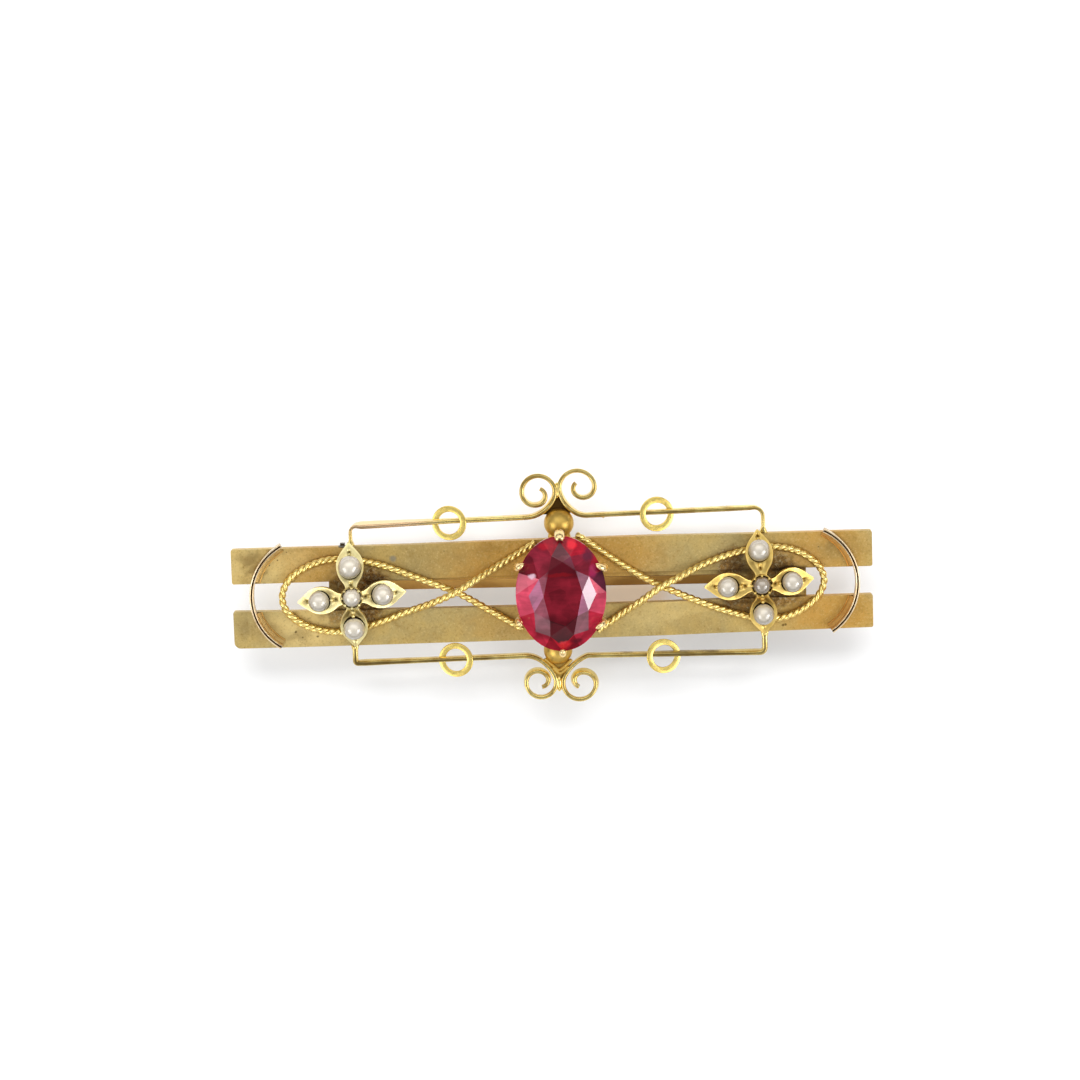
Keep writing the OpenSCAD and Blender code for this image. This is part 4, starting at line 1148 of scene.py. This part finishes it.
# Four facets outside each star: beside the first kite, two along the girdle, beside the next kite
OUTER = [
    ["pink", "purple", "crimson", "plum"], ["plum", "crimson", "crimson", "crimson"],
    ["crimson", "crimson", "plum", "plum"], ["wine", "wine", "pale", "pink"],
    ["pink", "pink", "rose", "rose"], ["rose", "rose", "crimson", "red"],
    ["red", "crimson", "rose", "rose"], ["rose", "rose", "pink", "pink"],
]
PAVILION_MAINS = ["wine", "crimson", "night", "rose", "wine", "crimson", "night", "rose"]
LOWER_GIRDLE = ["rose", "wine", "crimson", "night"]


def facet_plane(through, tangent, corner):
    """Direction that the plane of a facet faces, and its distance from the origin that way."""
    normal = unit(np.cross(tangent, corner - through))
    return normal, normal @ through


def meeting(first, second, near):
    """Point on both planes that is closest to the given X and Y."""
    ahead = np.cross(first[0], second[0])
    base = np.linalg.solve(np.array([first[0], second[0], ahead]), [first[1], second[1], 0])
    share = (near - base[:2]) @ ahead[:2] / (ahead[:2] @ ahead[:2])
    return base + share * ahead


def cut_stone():
    """Oval brilliant: table, stars, kites and girdle facets on top, mains and girdle facets underneath."""
    top, bottom = GIRDLE_THICK / 2, -GIRDLE_THICK / 2
    tangents = [np.append(HALF_SIZE * heading(360 * i / MAINS + 90), 0) for i in range(MAINS)]
    edge = [girdle(180 * i / MAINS) for i in range(2 * MAINS)]
    around = 2 * MAINS * ROUNDING
    outline = [girdle(360 * i / around)[0] for i in range(around)]
    upper = [np.append(p, top) for p in outline]
    lower = [np.append(p, bottom) for p in outline]
    table = [np.array([x, y, top + CROWN]) for x, y in TABLE]
    ends = [
        np.append(edge[2 * i][0] - inset * edge[2 * i][1], top + inset * OUTER_SLOPE)
        for i, inset in enumerate(KITE_INSETS)
    ]
    kites = [facet_plane(ends[i], tangents[i], table[i]) for i in range(MAINS)]
    stars = [meeting(kites[i], kites[(i + 1) % MAINS], np.array(STAR_ENDS[i])) for i in range(MAINS)]
    culet = np.array([0, 0, bottom - PAVILION])
    mains = [facet_plane(np.append(edge[2 * i][0], bottom), tangents[i], culet) for i in range(MAINS)]
    split = [
        meeting(mains[i], mains[(i + 1) % MAINS], (1 - PAVILION_SPLIT) * edge[2 * i + 1][0])
        for i in range(MAINS)
    ]
    verts = np.array([*table, *stars, *ends, *upper, *lower, *split, culet])
    t, s, k, u = 0, MAINS, 2 * MAINS, 3 * MAINS
    l, p, c = u + around, u + 2 * around, 2 * around + 4 * MAINS

    def rim(start, part):
        """Points of one sixteenth of the girdle, from its first to its last."""
        return tuple(start + (part * ROUNDING + j) % around for j in range(ROUNDING + 1))

    rows = [[tuple(range(MAINS)), "wine", False]]
    for i in range(MAINS):
        after, before, wide = (i + 1) % MAINS, (i - 1) % MAINS, 2 * i
        first, second = rim(u, wide), rim(u, wide + 1)
        rows += [
            [(t + i, s + i, t + after), STARS[i], i == GLOSSY],
            [(t + i, s + before, k + i, s + i), KITES[i], i == GLOSSY],
            [(s + i, k + i, first[0]), OUTER[i][0], False],
            [(s + i, *first), OUTER[i][1], False],
            [(s + i, *second), OUTER[i][2], False],
            [(s + i, second[-1], k + after), OUTER[i][3], False],
            [(p + i, *reversed(rim(l, wide))), LOWER_GIRDLE[wide % 4], True],
            [(p + i, *reversed(rim(l, wide + 1))), LOWER_GIRDLE[wide % 4 + 1], True],
            [(c, p + i, l + wide * ROUNDING, p + before), PAVILION_MAINS[i], True],
        ]
    rows += [
        [(u + j, l + j, l + (j + 1) % around, u + (j + 1) % around), "red", False] for j in range(around)
    ]
    faces = [row[0] for row in rows]
    stone = (verts + [*STONE, GIRDLE_Z], faces)
    mesh = piece("cut_tourmaline", [stone], GEM, ["tourmaline"]).data
    mesh.materials.append(GEM_DEEP)
    mesh.shade_flat()
    layer = mesh.attributes.new("tone", "FLOAT_COLOR", "CORNER")
    for polygon, (_, tone, glossy) in zip(mesh.polygons, rows):
        polygon.material_index = 0 if glossy else 1
        for corner in polygon.loop_indices:
            layer.data[corner].color = in_stone(TONES[tone])


# Studio

CAMERA_TARGET = Vector((-0.957, 4.195, 3.9))
CAMERA_LEAN = math.radians(9)
CAMERA_ROLL = math.radians(1.706)
CAMERA_DISTANCE = 300
PIXELS_PER_MM = 11.67
IMAGE_SIZE = 1080
SENSOR = 36


def camera():
    data = bpy.data.cameras.new("camera")
    data.sensor_width = SENSOR
    data.lens = PIXELS_PER_MM * SENSOR * CAMERA_DISTANCE / IMAGE_SIZE
    data.clip_start = 0.01
    obj = placed("camera", data)
    lean = Matrix.Rotation(-CAMERA_LEAN, 4, "X")
    roll = Matrix.Rotation(-CAMERA_ROLL, 4, "Z")
    target = Matrix.Translation(CAMERA_TARGET * MM)
    obj.matrix_world = target @ lean @ roll @ Matrix.Translation((0, 0, CAMERA_DISTANCE * MM))
    bpy.context.scene.camera = obj


# Lights: name, direction of the light, distance, width and height of the panel, its radiance,
# and whether it shows in polished surfaces and lights matt ones
LIGHTS = [
    ["left_box", (-0.7, -0.3, 0.65), 400, 300, 200, 2.8, True, True],
    ["right_box", (0.66, -0.32, 0.68), 400, 300, 180, 2.8, True, True],
    ["right_strip", (0.81, -0.15, 0.56), 400, 150, 110, 3.6, True, False],
    ["back_box", (0, 0.75, 0.66), 450, 520, 260, 8.0, False, True],
    ["sky", (0, 0.6, 0.8), 500, 700, 340, 0.9, True, False],
    ["front_box", (0, -0.8, 0.5), 500, 500, 200, 0.9, True, False],
]
# Radiance of the room low down and overhead, and how high up it begins to change
HORIZON = 0.2
ZENITH = 0.6
HORIZON_HEIGHT = 0.3
# Dark camera overhead: its direction, the half size of its dark middle and of its soft edge, and the
# share of the light that is left there
CAMERA_SHADE = (0, -0.156, 0.988)
SHADE_REACH = (0.1, 0.24)
SHADE_LEFT = 0.3
# Half size of the floor in metres, its tone and its own glow
FLOOR_HALF = 1.5
FLOOR_TONE = (0.5, 0.5, 0.5, 1)
FLOOR_GLOW = 0.41
# Painted light and shadow on the floor, as lighter and darker places: X, Y, half size along X and Y, and
# change of its glow
FLOOR_PAINTED_LIGHT_AND_SHADOW = [
    [-22.5, -0.7, 7.5, 1.6, 0.12], [21.5, -0.7, 6.5, 1.6, 0.05], [12.0, -5.9, 12.0, 2.0, -0.17],
]
# Gold light thrown on the floor through the gap: X, Y and half size along X and Y
FLOOR_BLUSH = [6.8, -1.6, 3.4, 1.3]


def light(name, direction, distance, width, height, radiance, for_gloss, for_matt):
    data = bpy.data.lights.new(name, "AREA")
    data.shape = "RECTANGLE"
    data.size = width * MM
    data.size_y = height * MM
    data.energy = radiance * math.pi * data.size * data.size_y
    obj = placed(name, data)
    away = Vector(direction).normalized()
    turn = away.to_track_quat("Z", "Y").to_matrix().to_4x4()
    obj.matrix_world = Matrix.Translation(away * distance * MM) @ turn
    obj.visible_glossy = for_gloss
    obj.visible_diffuse = for_matt


def studio():
    for row in LIGHTS:
        light(*row)
    sky = Nodes(bpy.data.worlds.new("studio"), "Background", "Generated")
    away = sky.add("VectorMath", {0: sky.place, 1: CAMERA_SHADE}, operation="DISTANCE")
    shade = sky.ramp(away.outputs["Value"], *SHADE_REACH, SHADE_LEFT, 1)
    fade = sky.ramp(sky.height(), HORIZON_HEIGHT, 1, HORIZON, ZENITH)
    sky.set(Color=(0.97, 0.985, 1, 1), Strength=sky.times(fade, shade))
    bpy.context.scene.world = sky.owner
    mesh = bpy.data.meshes.new("floor")
    corners = [(-1, -1), (1, -1), (1, 1), (-1, 1)]
    mesh.from_pydata([(x * FLOOR_HALF, y * FLOOR_HALF, 0) for x, y in corners], [], [(0, 1, 2, 3)])
    paper = Nodes(bpy.data.materials.new("white_paper"))
    glow = FLOOR_GLOW
    for *row, change in FLOOR_PAINTED_LIGHT_AND_SHADOW:
        glow = paper.math("ADD", paper.times(paper.spot(*row, 1.6), change), glow)
    blush = paper.spot(*FLOOR_BLUSH, 0.8)
    paper.set(
        Base_Color=paper.mix(blush, FLOOR_TONE, srgb(196, 176, 148)),
        Roughness=0.9,
        Emission_Color=paper.mix(blush, (0.985, 0.99, 1, 1), (0.9, 0.76, 0.62, 1)),
        Emission_Strength=glow,
        Normal=paper.bump(paper.noise(3), 0.01, 0.1),
    )
    mesh.materials.append(paper.owner)
    floor = placed("floor", mesh)
    bpy.context.scene.view_settings.view_transform = "Standard"


dress_bars()
wire_frame("upper", 1, 3)
wire_frame("lower", -1, 40)
for build in (rope, end_arc, flower):
    for end in ("left", "right"):
        build(end)
pearls()
setting()
cut_stone()
dress_node("pin_fitting", GOLDS["rose_gold"])
studio()
camera()
